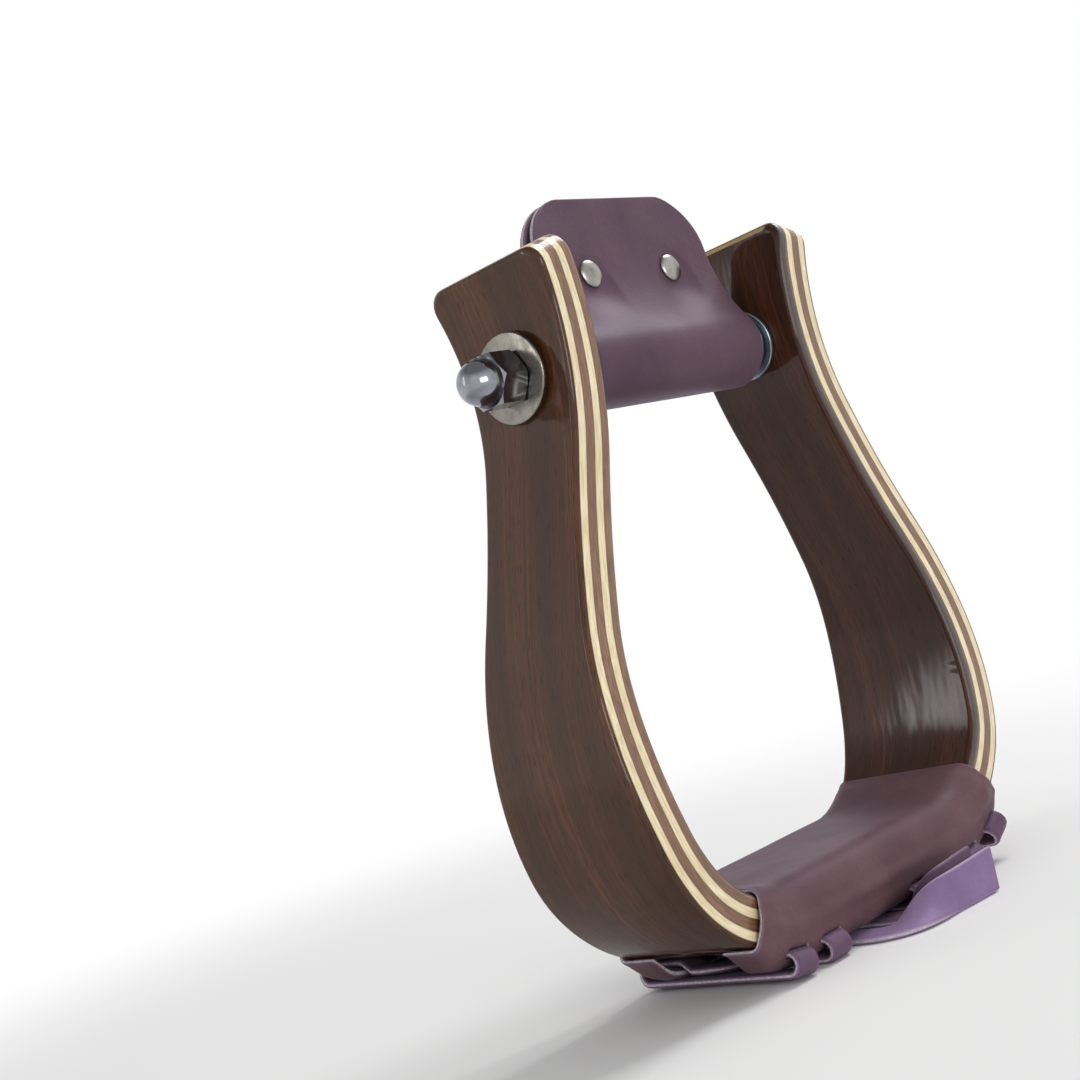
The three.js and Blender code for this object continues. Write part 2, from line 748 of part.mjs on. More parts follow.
// Points of a shallow domed cap, from its rim to its middle
function capCrown(base, height) {
  const points = [];
  for (let angle = 0; angle < 90; angle += 15) {
    points.push([
      base + height * Math.sin(angle * degrees),
      (rivetCapDiameter / 2) * Math.cos(angle * degrees),
    ]);
  }
  points.push([base + height, 0]);
  return points;
}

// Rivet through both layers: a domed head in front with its post, and a cap that takes the post behind
const capFace = clearance / 2 + leatherThickness + clearance;
const postEnd = capFace + clearance + rivetEngagement;

function rivetHead() {
  const post = rivetPostDiameter / 2;
  return turned([
    [-postEnd, 0], [-postEnd, post], [capFace, post], ...capCrown(capFace, rivetCapHeight),
  ], 20);
}

function rivetCap() {
  const socket = rivetPostDiameter / 2 + clearance;
  const socketEnd = postEnd + clearance;
  return turned([
    [socketEnd, 0], [socketEnd, socket], [capFace, socket], ...capCrown(capFace, rivetCapHeight + clearance),
  ], 20);
}

function addHanger() {
  const hanger = new THREE.Group();
  hanger.position.z = boltHeight;
  hanger.rotation.x = -hangerLean * degrees;
  group.add(hanger);
  const bore = boltDiameter / 2 + boltClearance;
  const wall = sleeveDiameter / 2;
  addPiece('roller_sleeve', turned([
    [-sleeveHalfLength, bore], [-sleeveHalfLength, wall], [sleeveHalfLength, wall], [sleeveHalfLength, bore],
  ], 32), zinc, hanger);
  addPiece('leather_hanger', hangerLeather(), leather, hanger);
  for (const [name, side] of [['left', -1], ['right', 1]]) {
    const head = addPiece(`${name}_rivet`, rivetHead(), chrome, hanger);
    head.rotation.z = -Math.PI / 2;
    head.position.set(side * rivetHalfSpacing, 0, rivetHeight);
    const cap = addPiece(`${name}_rivet_cap`, rivetCap(), chrome, hanger);
    cap.rotation.z = Math.PI / 2;
    cap.position.set(side * rivetHalfSpacing, 0, rivetHeight);
  }
}

addLaminate();
addTreadCover();
addTreadLace();
addTails();
addBolt();
addHanger();

export default group;
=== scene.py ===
"""Looks of the bentwood stirrup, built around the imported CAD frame. Metres, +Z up, X from leg to leg."""

import math

import bmesh
import bpy
from mathutils import Matrix, Vector, noise


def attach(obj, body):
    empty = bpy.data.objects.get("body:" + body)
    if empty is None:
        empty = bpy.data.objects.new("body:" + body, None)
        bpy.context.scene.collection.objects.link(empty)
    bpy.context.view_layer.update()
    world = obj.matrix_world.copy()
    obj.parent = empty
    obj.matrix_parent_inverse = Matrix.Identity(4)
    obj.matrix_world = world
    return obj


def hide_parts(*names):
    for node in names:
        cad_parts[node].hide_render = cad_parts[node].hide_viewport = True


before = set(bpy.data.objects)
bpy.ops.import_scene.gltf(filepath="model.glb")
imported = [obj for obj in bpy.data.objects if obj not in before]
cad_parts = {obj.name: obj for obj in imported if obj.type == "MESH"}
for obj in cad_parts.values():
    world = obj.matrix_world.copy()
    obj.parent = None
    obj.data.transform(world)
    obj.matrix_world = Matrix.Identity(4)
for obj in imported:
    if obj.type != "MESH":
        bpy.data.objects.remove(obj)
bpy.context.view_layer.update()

MM = 0.001
DEGREE = math.pi / 180

# The named sizes are in mm and degrees. GAP is the air left between pieces that lie on each other
GAP = 0.3

# The bentwood's outer face, from the middle of the tread to a leg's tip: (length or radius, turn)
FLARE_RADIUS = 86.1
FACE_RUNS = [(36.9, 0), (48.7, 75.1), (106, 35.4), (45.7, 0), (FLARE_RADIUS, -37.1)]
# The wood's underside, its width from front to back at four heights above that, and its thickness
WOOD_HEIGHT = 7.9
TREAD_WIDTH, HEEL_WIDTH, WAIST_WIDTH, TIP_WIDTH = 47.7, 50.8, 36.1, 45.7
HEEL_HEIGHT, WAIST_HEIGHT = 30, 130
LAMINATE = 13.9
# Radii of the long edges, outside and on the foot side, and of the tips' corners and ends
OUTER_EDGE, INNER_EDGE, TIP_CORNER, TIP_EDGE = 1.4, 1.8, 6, 2

# Bolt, nuts and washers: BOLT_DROP is from the tips down to the bolt, and the washers' sizes are across
BOLT_DROP = 30.8
BOLT_RADIUS = 4.75
BORE_RADIUS = BOLT_RADIUS + 0.4
NUT_FLATS, NUT_HEX, NUT_DOME, NUT_LENGTH = 14.3, 8.8, 12.7, 17
OUTER_WASHER, INNER_WASHER, WASHER_THICKNESS = 25.4, 22, 1.6
SLEEVE_RADIUS = 9.5

# Tread cover: its two ends along the bow, its flaps' edges from the middle line and their depth below the wood, the
# radius of its shoulders, that of a flap's bend beside the lace, and the bulge of its sides
LEATHER = 2.8
COVER_LEFT, COVER_RIGHT = -60, 72
FLAP_EDGE = 13
FLAP_DEPTH = -2.8
SHOULDER_RADIUS, FLAP_BEND, SIDE_BULGE = 9, 4, 0.9

# Lace: the places of its outermost bars along the bow and the number of bars at each end, the depths of its bars, of
# its runs inside and of its middle run, and how far the slots start inside the wood's edge
LACE_WIDTH, LACE_THICKNESS, LACE_PITCH = 9, 2, 15
FIRST_LEFT, FIRST_RIGHT, LEFT_BARS, RIGHT_BARS = -45, 60, 2, 4
BAR_DEPTH, INNER_LACE, MIDDLE_LACE = -6.9, -1.3, -4.1
SLOT_INSET = 4.3

# Hanger: its lean to the back, its length above the bolt, the radius that closes its neck, half of its width, and the
# radius of its corners
HANGER_LEAN, HANGER_LENGTH, HANGER_NECK = 4, 51, 48
HANGER_HALF, HANGER_CORNER = 38, 18

# Rivets: their height above the bolt, their distance from the middle, and the radii of their heads, of the flat under
# a head, of the post and of the hole for it. The head in front rises less than the cap behind
RIVET_HEIGHT, RIVET_SPACING = 27, 18.5
RIVET_RADIUS, RIM_RADIUS, POST_RADIUS, RIVET_HOLE = 4.3, 4.1, 1.6, 1.9
HEAD_RISE, CAP_RISE = 1.2, 1.4


def ease(t):
    """0 to 1 with soft ends."""
    t = min(max(t, 0), 1)
    return (1 - math.cos(math.pi * t)) / 2


def round_off(radius, distance):
    """How far an edge of that radius falls back, at a distance from the face that it runs into."""
    inside = min(max(radius - distance, 0), radius)
    return radius - math.sqrt(radius * radius - inside * inside)


def soften(distance, radius, least):
    """Share of its thickness that a strap keeps, at a distance from a cut edge which is rounded by that radius."""
    return math.sqrt(max(least, 1 - (1 - min(distance / radius, 1)) ** 2))


# ---- the outer face as a line that everything on the bow is placed by

def trace_face():
    """The face's runs, each with where and how it starts, the face's whole length and the height of its tips."""
    runs, length, x, z, heading = [], 0, 0, WOOD_HEIGHT, 0
    for size, turn in FACE_RUNS:
        total = size if turn == 0 else size * abs(turn) * DEGREE
        run = {"length": length, "x": x, "z": z, "heading": heading, "total": total, "turn": turn * DEGREE}
        runs.append(run)
        x, z, heading = point_on_run(run, total)
        length += total
    return runs, length, z


def point_on_run(run, distance):
    """X, height and heading at a distance along a straight run or an arc."""
    heading = run["heading"] + run["turn"] * distance / run["total"]
    half = (heading - run["heading"]) / 2
    middle = (heading + run["heading"]) / 2
    chord = distance * (math.sin(half) / half if abs(half) > 1e-9 else 1)
    return run["x"] + chord * math.cos(middle), run["z"] + chord * math.sin(middle), heading


RUNS, FACE_LENGTH, TIP_HEIGHT = trace_face()


def point_on_face(along):
    """X, height and heading at a length from the middle of the tread, which is negative to the left."""
    length = abs(along)
    run = [r for r in RUNS if r["length"] <= length + 1e-9][-1]
    x, z, heading = point_on_run(run, length - run["length"])
    return (-x, z, -heading) if along < 0 else (x, z, heading)


def place(along, across, inward):
    """A point on the bow: length from the middle of the tread, place across, depth from the outer face."""
    x, z, heading = point_on_face(along)
    return Vector((x - inward * math.sin(heading), across, z + inward * math.cos(heading))) * MM


def half_width(along):
    """Half of the wood's width there, with the tips' corners rounded."""
    height = point_on_face(along)[1] - WOOD_HEIGHT
    if height < HEEL_HEIGHT:
        width = TREAD_WIDTH + (HEEL_WIDTH - TREAD_WIDTH) * ease(height / HEEL_HEIGHT)
    elif height < WAIST_HEIGHT:
        share = (height - HEEL_HEIGHT) / (WAIST_HEIGHT - HEEL_HEIGHT)
        width = HEEL_WIDTH + (WAIST_WIDTH - HEEL_WIDTH) * ease(share)
    else:
        share = (height - WAIST_HEIGHT) / (TIP_HEIGHT - WOOD_HEIGHT - WAIST_HEIGHT)
        width = WAIST_WIDTH + (TIP_WIDTH - WAIST_WIDTH) * (1 - math.cos(math.pi * share / 2))
    beyond = abs(along) - (FACE_LENGTH - TIP_CORNER)
    return width / 2 - round_off(TIP_CORNER, TIP_CORNER - beyond)


def length_at_height(height):
    """Where along the face a leg's upper part comes to a height, by halving."""
    low, high = RUNS[-2]["length"], FACE_LENGTH
    for _ in range(40):
        middle = (low + high) / 2
        low, high = (middle, high) if point_on_face(middle)[1] < height else (low, middle)
    return low


BOLT_HEIGHT = TIP_HEIGHT - BOLT_DROP
BOLT_ALONG = length_at_height(BOLT_HEIGHT)
LEG_X, _, leg_heading = point_on_face(BOLT_ALONG)
LEG_SLOPE = leg_heading - math.pi / 2
# A flat washer on the hollow flare touches it with its rim alone
WASHER_HOLLOW = FLARE_RADIUS - math.sqrt(FLARE_RADIUS ** 2 - (OUTER_WASHER / 2) ** 2)
OUTER_WASHER_X = LEG_X + (WASHER_HOLLOW + GAP) / math.cos(LEG_SLOPE)
INNER_WASHER_X = LEG_X - (LAMINATE + GAP) / math.cos(LEG_SLOPE)
NUT_X = (OUTER_WASHER_X + WASHER_THICKNESS / math.cos(LEG_SLOPE)
         + NUT_FLATS / 2 * math.sin(abs(LEG_SLOPE)) + GAP)
SLEEVE_HALF = (INNER_WASHER_X - WASHER_THICKNESS / math.cos(LEG_SLOPE)
               - INNER_WASHER / 2 * math.sin(abs(LEG_SLOPE)) - GAP)


# ---- materials

def colour(hex_value):
    """An sRGB hex colour as linear red, green, blue and alpha."""
    channels = [int(hex_value[i:i + 2], 16) / 255 for i in (1, 3, 5)]
    return (*[c / 12.92 if c <= 0.04045 else ((c + 0.055) / 1.055) ** 2.4 for c in channels], 1)


def add_node(tree, kind, sockets=None, **settings):
    """One node with its settings, its socket values and its links."""
    new = tree.nodes.new(kind)
    for name, value in settings.items():
        setattr(new, name, value)
    for name, value in (sockets or {}).items():
        if isinstance(value, bpy.types.NodeSocket):
            tree.links.new(value, new.inputs[name])
        else:
            new.inputs[name].default_value = value
    return new


def start_material(name, **sockets):
    """A new material's node tree and its shader, with the shader's plain values set."""
    material = bpy.data.materials.new(name)
    material.use_nodes = True
    shader = material.node_tree.nodes["Principled BSDF"]
    for socket, value in sockets.items():
        shader.inputs[socket.replace("_", " ")].default_value = value
    return material, material.node_tree, shader


def mahogany_veneer(name, heart, streak, line, coat):
    """Rotary-cut face veneer, stained red-brown and brushed with gloss varnish: long streaks under a wet shine."""
    material, tree, shader = start_material(
        name, Roughness=0.45, Specular_IOR_Level=0.05, Coat_Weight=coat, Coat_Roughness=0.08, Coat_IOR=1.5)
    stock = add_node(tree, "ShaderNodeAttribute", attribute_name="stock").outputs["Vector"]
    # Figure: streaks about 9 mm wide and 150 mm long
    figure = add_node(tree, "ShaderNodeMapping", {0: stock, "Scale": (7, 110, 110)})
    figure = add_node(tree, "ShaderNodeTexNoise", {0: figure.outputs[0], "Scale": 1, "Detail": 4, "Distortion": 0.6})
    # Growth lines: about 1.2 mm wide
    lines = add_node(tree, "ShaderNodeMapping", {0: stock, "Scale": (14, 800, 800)})
    lines = add_node(tree, "ShaderNodeTexNoise", {0: lines.outputs[0], "Scale": 1, "Detail": 3})
    # Pores: 0.3 mm wide and 5 mm long
    pores = add_node(tree, "ShaderNodeMapping", {0: stock, "Scale": (200, 3000, 3000)})
    pores = add_node(tree, "ShaderNodeTexNoise", {0: pores.outputs[0], "Scale": 1, "Detail": 1})
    figure = add_node(tree, "ShaderNodeMapRange", {0: figure.outputs[0], 1: 0.36, 2: 0.66})
    lines = add_node(tree, "ShaderNodeMapRange", {0: lines.outputs[0], 1: 0.35, 2: 0.68})
    pores = add_node(tree, "ShaderNodeMapRange", {0: pores.outputs[0], 1: 0.55, 2: 0.72})
    broad = add_node(tree, "ShaderNodeMix", {0: figure.outputs[0], 6: colour(heart), 7: colour(streak)},
                     data_type="RGBA")
    fine = add_node(tree, "ShaderNodeMix", {0: lines.outputs[0], 6: broad.outputs[2], 7: colour(line)},
                    data_type="RGBA")
    dark = add_node(tree, "ShaderNodeMix", {0: pores.outputs[0], 6: fine.outputs[2], 7: colour("#231611")},
                    data_type="RGBA")
    # A pale line about 0.3 mm wide is painted along the tips' ends, beside the veneer's glue line
    length = add_node(tree, "ShaderNodeSeparateXYZ", {0: stock})
    length = add_node(tree, "ShaderNodeMath", {0: length.outputs[0]}, operation="ABSOLUTE")
    pale_tip_line = add_node(tree, "ShaderNodeMapRange", {0: length.outputs[0], 1: (FACE_LENGTH - 0.4) * MM,
                                                   2: (FACE_LENGTH - 0.1) * MM, 4: 0.8})
    rim = add_node(tree, "ShaderNodeAttribute", attribute_name="rim").outputs["Fac"]
    beside = add_node(tree, "ShaderNodeMapRange", {0: rim, 1: 0.15, 2: 0.4, 3: 1, 4: 0})
    pale_tip_line = add_node(tree, "ShaderNodeMath", {0: pale_tip_line.outputs[0], 1: beside.outputs[0]}, operation="MULTIPLY")
    final = add_node(tree, "ShaderNodeMix", {0: pale_tip_line.outputs[0], 6: dark.outputs[2], 7: colour("#c4a878")},
                     data_type="RGBA")
    tree.links.new(final.outputs[2], shader.inputs["Base Color"])
    # Brushed varnish: soft ripples about 8 mm apart that run with the grain
    ripple = add_node(tree, "ShaderNodeMapping", {0: stock, "Scale": (30, 130, 130)})
    ripple = add_node(tree, "ShaderNodeTexNoise", {0: ripple.outputs[0], "Scale": 1, "Detail": 2})
    ripple = add_node(tree, "ShaderNodeBump", {"Height": ripple.outputs[0], "Strength": 0.13, "Distance": 0.0006})
    tree.links.new(ripple.outputs[0], shader.inputs["Coat Normal"])
    sunk = add_node(tree, "ShaderNodeBump", {"Height": pores.outputs[0], "Strength": 0.3, "Distance": 0.0002},
                    invert=True)
    tree.links.new(sunk.outputs[0], shader.inputs["Normal"])
    return material


def ply_edge(name, light, dark, stain):
    """Sanded edge of a ply under varnish: fine fibres along it, a dark glue line, and stain towards the foot side."""
    material, tree, shader = start_material(
        name, Roughness=0.45, Coat_Weight=0.7, Coat_Roughness=0.14, Coat_IOR=1.5)
    stock = add_node(tree, "ShaderNodeAttribute", attribute_name="stock").outputs["Vector"]
    fibres = add_node(tree, "ShaderNodeMapping", {0: stock, "Scale": (130, 1800, 1800)})
    fibres = add_node(tree, "ShaderNodeTexNoise", {0: fibres.outputs[0], "Scale": 1, "Detail": 4})
    fibres = add_node(tree, "ShaderNodeMapRange", {0: fibres.outputs[0], 1: 0.38, 2: 0.66})
    tone = add_node(tree, "ShaderNodeMapping", {0: stock, "Scale": (35, 200, 200)})
    tone = add_node(tree, "ShaderNodeTexNoise", {0: tone.outputs[0], "Scale": 1, "Detail": 2})
    tone = add_node(tree, "ShaderNodeMapRange", {0: tone.outputs[0], 1: 0.35, 2: 0.7, 4: 0.55})
    wood = add_node(tree, "ShaderNodeMix", {0: fibres.outputs[0], 6: colour(light), 7: colour(dark)},
                    data_type="RGBA")
    wood = add_node(tree, "ShaderNodeMix", {0: tone.outputs[0], 6: wood.outputs[2], 7: colour(dark)},
                    data_type="RGBA")
    # The glue line shows as a darker hair, about 0.2 mm wide and a little uneven
    rim = add_node(tree, "ShaderNodeAttribute", attribute_name="rim").outputs["Fac"]
    uneven = add_node(tree, "ShaderNodeMapping", {0: stock, "Scale": (140, 500, 500)})
    uneven = add_node(tree, "ShaderNodeTexNoise", {0: uneven.outputs[0], "Scale": 1, "Detail": 4})
    uneven = add_node(tree, "ShaderNodeMapRange", {0: uneven.outputs[0], 1: 0.3, 2: 0.7, 3: -0.08, 4: 0.08})
    rim = add_node(tree, "ShaderNodeMath", {0: rim, 1: uneven.outputs[0]}, operation="ADD")
    rim = add_node(tree, "ShaderNodeMapRange", {0: rim.outputs[0], 1: 0.08, 2: 0.3, 3: 0.75, 4: 0})
    glued = add_node(tree, "ShaderNodeMix", {0: rim.outputs[0], 6: wood.outputs[2], 7: colour(stain)},
                     data_type="RGBA")
    # The stain brushed on the foot side ends in an uneven line 13 mm deep, and 10.5 mm deep on the right leg
    part = add_node(tree, "ShaderNodeSeparateXYZ", {0: stock})
    line = add_node(tree, "ShaderNodeMapRange", {0: part.outputs[0], 1: 0, 2: 0.06, 3: 0.013, 4: 0.0105})
    wander = add_node(tree, "ShaderNodeTexNoise", {0: stock, "Scale": 60, "Detail": 3})
    wander = add_node(tree, "ShaderNodeMapRange", {0: wander.outputs[0], 3: -0.0015, 4: 0.0015})
    line = add_node(tree, "ShaderNodeMath", {0: line.outputs[0], 1: wander.outputs[0]}, operation="ADD")
    past = add_node(tree, "ShaderNodeMath", {0: part.outputs[2], 1: line.outputs[0]}, operation="SUBTRACT")
    soaked = add_node(tree, "ShaderNodeMapRange", {0: past.outputs[0], 1: -0.0002, 2: 0.0005})
    final = add_node(tree, "ShaderNodeMix", {0: soaked.outputs[0], 6: glued.outputs[2], 7: colour(stain)},
                     data_type="RGBA")
    tree.links.new(final.outputs[2], shader.inputs["Base Color"])
    sanded = add_node(tree, "ShaderNodeBump", {"Height": fibres.outputs[0], "Strength": 0.25, "Distance": 0.0002})
    tree.links.new(sanded.outputs[0], shader.inputs["Normal"])
    return material


def chrome_tanned_leather(name, base, deep, pale, gloss):
    """Chrome-tanned strap leather, dyed and waxed: soft satin sheen, fine pebble grain and pale, rubbed edges."""
    material, tree, shader = start_material(
        name, Roughness=0.5, Specular_IOR_Level=gloss, Specular_Tint=colour("#c2acf6"), Sheen_Weight=0.4 * gloss,
        Sheen_Roughness=0.4, Sheen_Tint=colour("#c4b2e6"))
    place_on = add_node(tree, "ShaderNodeTexCoord").outputs["Object"]
    # Dye: clouds about 25 mm across
    cloud = add_node(tree, "ShaderNodeTexNoise", {0: place_on, "Scale": 45, "Detail": 4})
    cloud = add_node(tree, "ShaderNodeMapRange", {0: cloud.outputs[0], 1: 0.35, 2: 0.68})
    # Grain: pebbles of 0.7 mm, drawn about twice as coarse as real so that they show
    pebble = add_node(tree, "ShaderNodeTexVoronoi", {0: place_on, "Scale": 1300}, feature="SMOOTH_F1")
    pores = add_node(tree, "ShaderNodeTexNoise", {0: place_on, "Scale": 700, "Detail": 3})
    mottle = add_node(tree, "ShaderNodeMapRange", {0: pores.outputs[0], 1: 0.35, 2: 0.7, 4: 0.35})
    dye = add_node(tree, "ShaderNodeMix", {0: cloud.outputs[0], 6: colour(base), 7: colour(deep)}, data_type="RGBA")
    dye = add_node(tree, "ShaderNodeMix", {0: mottle.outputs[0], 6: dye.outputs[2], 7: colour(deep)},
                   data_type="RGBA")
    rim = add_node(tree, "ShaderNodeAttribute", attribute_name="rim").outputs["Fac"]
    pale_tip_line = add_node(tree, "ShaderNodeMapRange", {0: rim, 1: 0.5, 2: 1.0, 3: 0, 4: 0.8})
    worn = add_node(tree, "ShaderNodeMix", {0: pale_tip_line.outputs[0], 6: dye.outputs[2], 7: colour(pale)},
                    data_type="RGBA")
    tree.links.new(worn.outputs[2], shader.inputs["Base Color"])
    height = add_node(tree, "ShaderNodeMath", {0: pebble.outputs[0], 1: pores.outputs[0]}, operation="ADD")
    grain = add_node(tree, "ShaderNodeBump", {"Height": height.outputs[0], "Strength": 0.1, "Distance": 0.0004})
    tree.links.new(grain.outputs[0], shader.inputs["Normal"])
    return material


def raw_edge():
    """Cut edge of the leather: the paler, fibrous inside of the hide, lightly burnished."""
    material, tree, shader = start_material("leather_cut_edge", Roughness=0.7, Sheen_Weight=0.2)
    place_on = add_node(tree, "ShaderNodeTexCoord").outputs["Object"]
    fibre = add_node(tree, "ShaderNodeTexNoise", {0: place_on, "Scale": 1500, "Detail": 3})
    fibre = add_node(tree, "ShaderNodeMapRange", {0: fibre.outputs[0], 1: 0.35, 2: 0.7})
    tone = add_node(tree, "ShaderNodeMix", {0: fibre.outputs[0], 6: colour("#d9ccd9"), 7: colour("#a593a1")},
                    data_type="RGBA")
    tree.links.new(tone.outputs[2], shader.inputs["Base Color"])
    rough = add_node(tree, "ShaderNodeBump", {"Height": fibre.outputs[0], "Strength": 0.4, "Distance": 0.0003})
    tree.links.new(rough.outputs[0], shader.inputs["Normal"])
    return material


def plated_steel(name, tint, roughness, grime):
    """Plated steel: nickel over a polished or zinc over a tumbled surface, with faint handling marks."""
    material, tree, shader = start_material(name, Metallic=1.0, Roughness=roughness)
    place_on = add_node(tree, "ShaderNodeTexCoord").outputs["Object"]
    smudge = add_node(tree, "ShaderNodeTexNoise", {0: place_on, "Scale": 260, "Detail": 4})
    smudge = add_node(tree, "ShaderNodeMapRange", {0: smudge.outputs[0], 1: 0.4, 2: 0.75})
    tone = add_node(tree, "ShaderNodeMix", {0: smudge.outputs[0], 6: colour(tint), 7: colour(grime)},
                    data_type="RGBA")
    tree.links.new(tone.outputs[2], shader.inputs["Base Color"])
    dull = add_node(tree, "ShaderNodeMapRange", {0: smudge.outputs[0], 3: roughness, 4: roughness + 0.15})
    tree.links.new(dull.outputs[0], shader.inputs["Roughness"])
    marks = add_node(tree, "ShaderNodeTexNoise", {0: place_on, "Scale": 1200, "Detail": 2})
    marks = add_node(tree, "ShaderNodeBump", {"Height": marks.outputs[0], "Strength": 0.06, "Distance": 0.0002})
    tree.links.new(marks.outputs[0], shader.inputs["Normal"])
    return material


VENEER = mahogany_veneer("mahogany_veneer_varnished", "#3f2716", "#6c4025", "#472a18", 0.65)
FOOT_SIDE_VENEER = mahogany_veneer("mahogany_veneer_foot_side", "#341e14", "#5a3221", "#3c2318", 0.5)
PALE_PLY = ply_edge("pale_ply_edge", "#fbeecb", "#dcc697", "#6a4d38")
BROWN_PLY = ply_edge("brown_ply_edge", "#8c6340", "#654329", "#36231b")
# The cover's maroon is painted lighter than the leather is: partly painted light, standing in for light thrown up onto
# the cover's front
COVER_LEATHER = chrome_tanned_leather("maroon_cover_leather", "#705458", "#5c4448", "#84727a", gloss=0.2)
HANGER_LEATHER = chrome_tanned_leather("maroon_hanger_leather", "#614b54", "#503c45", "#7e6c78", gloss=0.28)
LACE_LEATHER = chrome_tanned_leather("maroon_lace_leather", "#70566a", "#5a4352", "#8f7b90", gloss=0.38)
# A lighter, more lavender copy of the lace leather: painted light for the front free end, where the key light strikes
# it
PAINTED_LIT_LACE_LEATHER = chrome_tanned_leather("lace_leather_painted_lit", "#927a9d", "#7b6486", "#bcaac8", gloss=0.5)
CUT_EDGE = raw_edge()
NICKEL = plated_steel("nickel_plated_steel", "#9b9ca5", 0.11, "#7f8087")
WASHER_NICKEL = plated_steel("dull_nickel_washer", "#8d8880", 0.22, "#6b6760")
RIVET_NICKEL = plated_steel("tumbled_nickel", "#a8a49f", 0.26, "#7f7b76")
ZINC = plated_steel("zinc_plated_steel", "#a6b2bd", 0.32, "#7c858d")


# ---- making pieces

TURNED_SIDES, SPUN_SIDES = 72, 96


def select_only(*pieces):
    """Selects these pieces and nothing else, with the first one active."""
    bpy.ops.object.select_all(action="DESELECT")
    for piece in pieces:
        piece.select_set(True)
    bpy.context.view_layer.objects.active = pieces[0]


def take_new(name):
    """Names the primitive that was just added, and leaves its object at the origin with its place in its mesh."""
    piece = bpy.context.object
    piece.name = piece.data.name = name
    bpy.ops.object.transform_apply(location=True, rotation=True, scale=True)
    return piece


def close_skin(angle, doubles=None):
    """Ends the active piece's shaping: points closer than doubles are merged, its faces are turned outwards, and what
    bends less than an angle in degrees is smoothed."""
    bpy.ops.object.mode_set(mode="EDIT")
    bpy.ops.mesh.select_all(action="SELECT")
    if doubles:
        bpy.ops.mesh.remove_doubles(threshold=doubles)
    bpy.ops.mesh.normals_make_consistent(inside=False)
    bpy.ops.object.mode_set(mode="OBJECT")
    bpy.ops.object.shade_smooth_by_angle(angle=angle * DEGREE)


def cut_lengths(piece, axis, counts):
    """Cuts every edge that runs along an axis into equal parts, and those again for each further count, because
    Blender makes at most 100 cuts at once."""
    for count in counts:
        bpy.ops.object.mode_set(mode="EDIT")
        bpy.ops.mesh.select_mode(type="EDGE")
        bpy.ops.mesh.select_all(action="DESELECT")
        mesh = bmesh.from_edit_mesh(piece.data)
        for edge in mesh.edges:
            run = edge.verts[1].co - edge.verts[0].co
            if abs(run[axis]) > 0.9 * run.length:
                edge.select_set(True)
        bmesh.update_edit_mesh(piece.data)
        bpy.ops.mesh.subdivide(number_cuts=count - 1)
        bpy.ops.object.mode_set(mode="OBJECT")


def formed_block(name, parts, form, materials):
    """A block of stock, cut up and then bent. parts has one tuple for each of its length, width and thickness, whose
    counts multiply, so (18, 20) makes 360 parts. form(u, v, w), each from 0 to 1, gives a point's place, how near it
    lies to an edge and, for wood, its place in the flat stock. The second material is for the cut edges."""
    bpy.ops.object.select_all(action="DESELECT")
    bpy.ops.mesh.primitive_cube_add(size=1, location=(0.5, 0.5, 0.5))
    piece = take_new(name)
    for axis, counts in enumerate(parts):
        cut_lengths(piece, axis, counts)
    mesh = piece.data
    mesh.attributes.new("stock", "FLOAT_VECTOR", "POINT")
    mesh.attributes.new("rim", "FLOAT", "POINT")
    stock, rim = mesh.attributes["stock"], mesh.attributes["rim"]
    sides = [[(abs(c) < 1e-4) or (abs(c - 1) < 1e-4) for c in v.co] for v in mesh.vertices]
    # The faces at the stock's ends and sides are the cut edges
    for face in mesh.polygons:
        on_edge = any(all(sides[i][axis] for i in face.vertices) for axis in (0, 1))
        face.material_index = 1 if on_edge and len(materials) > 1 else 0
    for i, vertex in enumerate(mesh.vertices):
        vertex.co, rim.data[i].value, *flat = form(*vertex.co)
        if flat:
            stock.data[i].vector = flat[0]
    for material in materials:
        mesh.materials.append(material)
    select_only(piece)
    close_skin(40)
    return piece


def turned(name, profile, material):
    """A turned piece about Z: a disc is extruded and scaled along a profile of (radius, height) in mm."""
    bpy.ops.object.select_all(action="DESELECT")
    radius, height = profile[0]
    bpy.ops.mesh.primitive_circle_add(vertices=TURNED_SIDES, radius=radius * MM, fill_type="NGON",
                                      location=(0, 0, height * MM))
    piece = take_new(name)
    bpy.ops.object.mode_set(mode="EDIT")
    bpy.ops.mesh.select_mode(type="FACE")
    bpy.ops.mesh.select_all(action="SELECT")
    for next_radius, next_height in profile[1:]:
        bpy.ops.mesh.extrude_region_move(TRANSFORM_OT_translate={"value": (0, 0, (next_height - height) * MM)})
        share = next_radius / radius
        bpy.ops.transform.resize(value=(share, share, 1), center_override=(0, 0, next_height * MM))
        radius, height = next_radius, next_height
    close_skin(35, doubles=1e-6)
    piece.data.materials.append(material)
    return piece


def revolved(name, profile, material):
    """A ring spun round Z from a closed profile of (radius, height) in mm."""
    bpy.ops.object.select_all(action="DESELECT")
    bpy.ops.mesh.primitive_plane_add(size=MM, location=(profile[0][0] * MM, 0, profile[0][1] * MM))
    piece = take_new(name)
    bpy.ops.object.mode_set(mode="EDIT")
    bpy.ops.mesh.select_mode(type="VERT")
    bpy.ops.mesh.select_all(action="SELECT")
    bpy.ops.mesh.merge(type="CENTER")
    for (r0, h0), (r1, h1) in zip(profile, profile[1:]):
        bpy.ops.mesh.extrude_region_move(
            TRANSFORM_OT_translate={"value": ((r1 - r0) * MM, 0, (h1 - h0) * MM)})
    bpy.ops.mesh.select_all(action="SELECT")
    bpy.ops.mesh.spin(steps=SPUN_SIDES, angle=2 * math.pi, center=(0, 0, 0), axis=(0, 0, 1))
    close_skin(35, doubles=2e-6)
    piece.data.materials.append(material)
    return piece


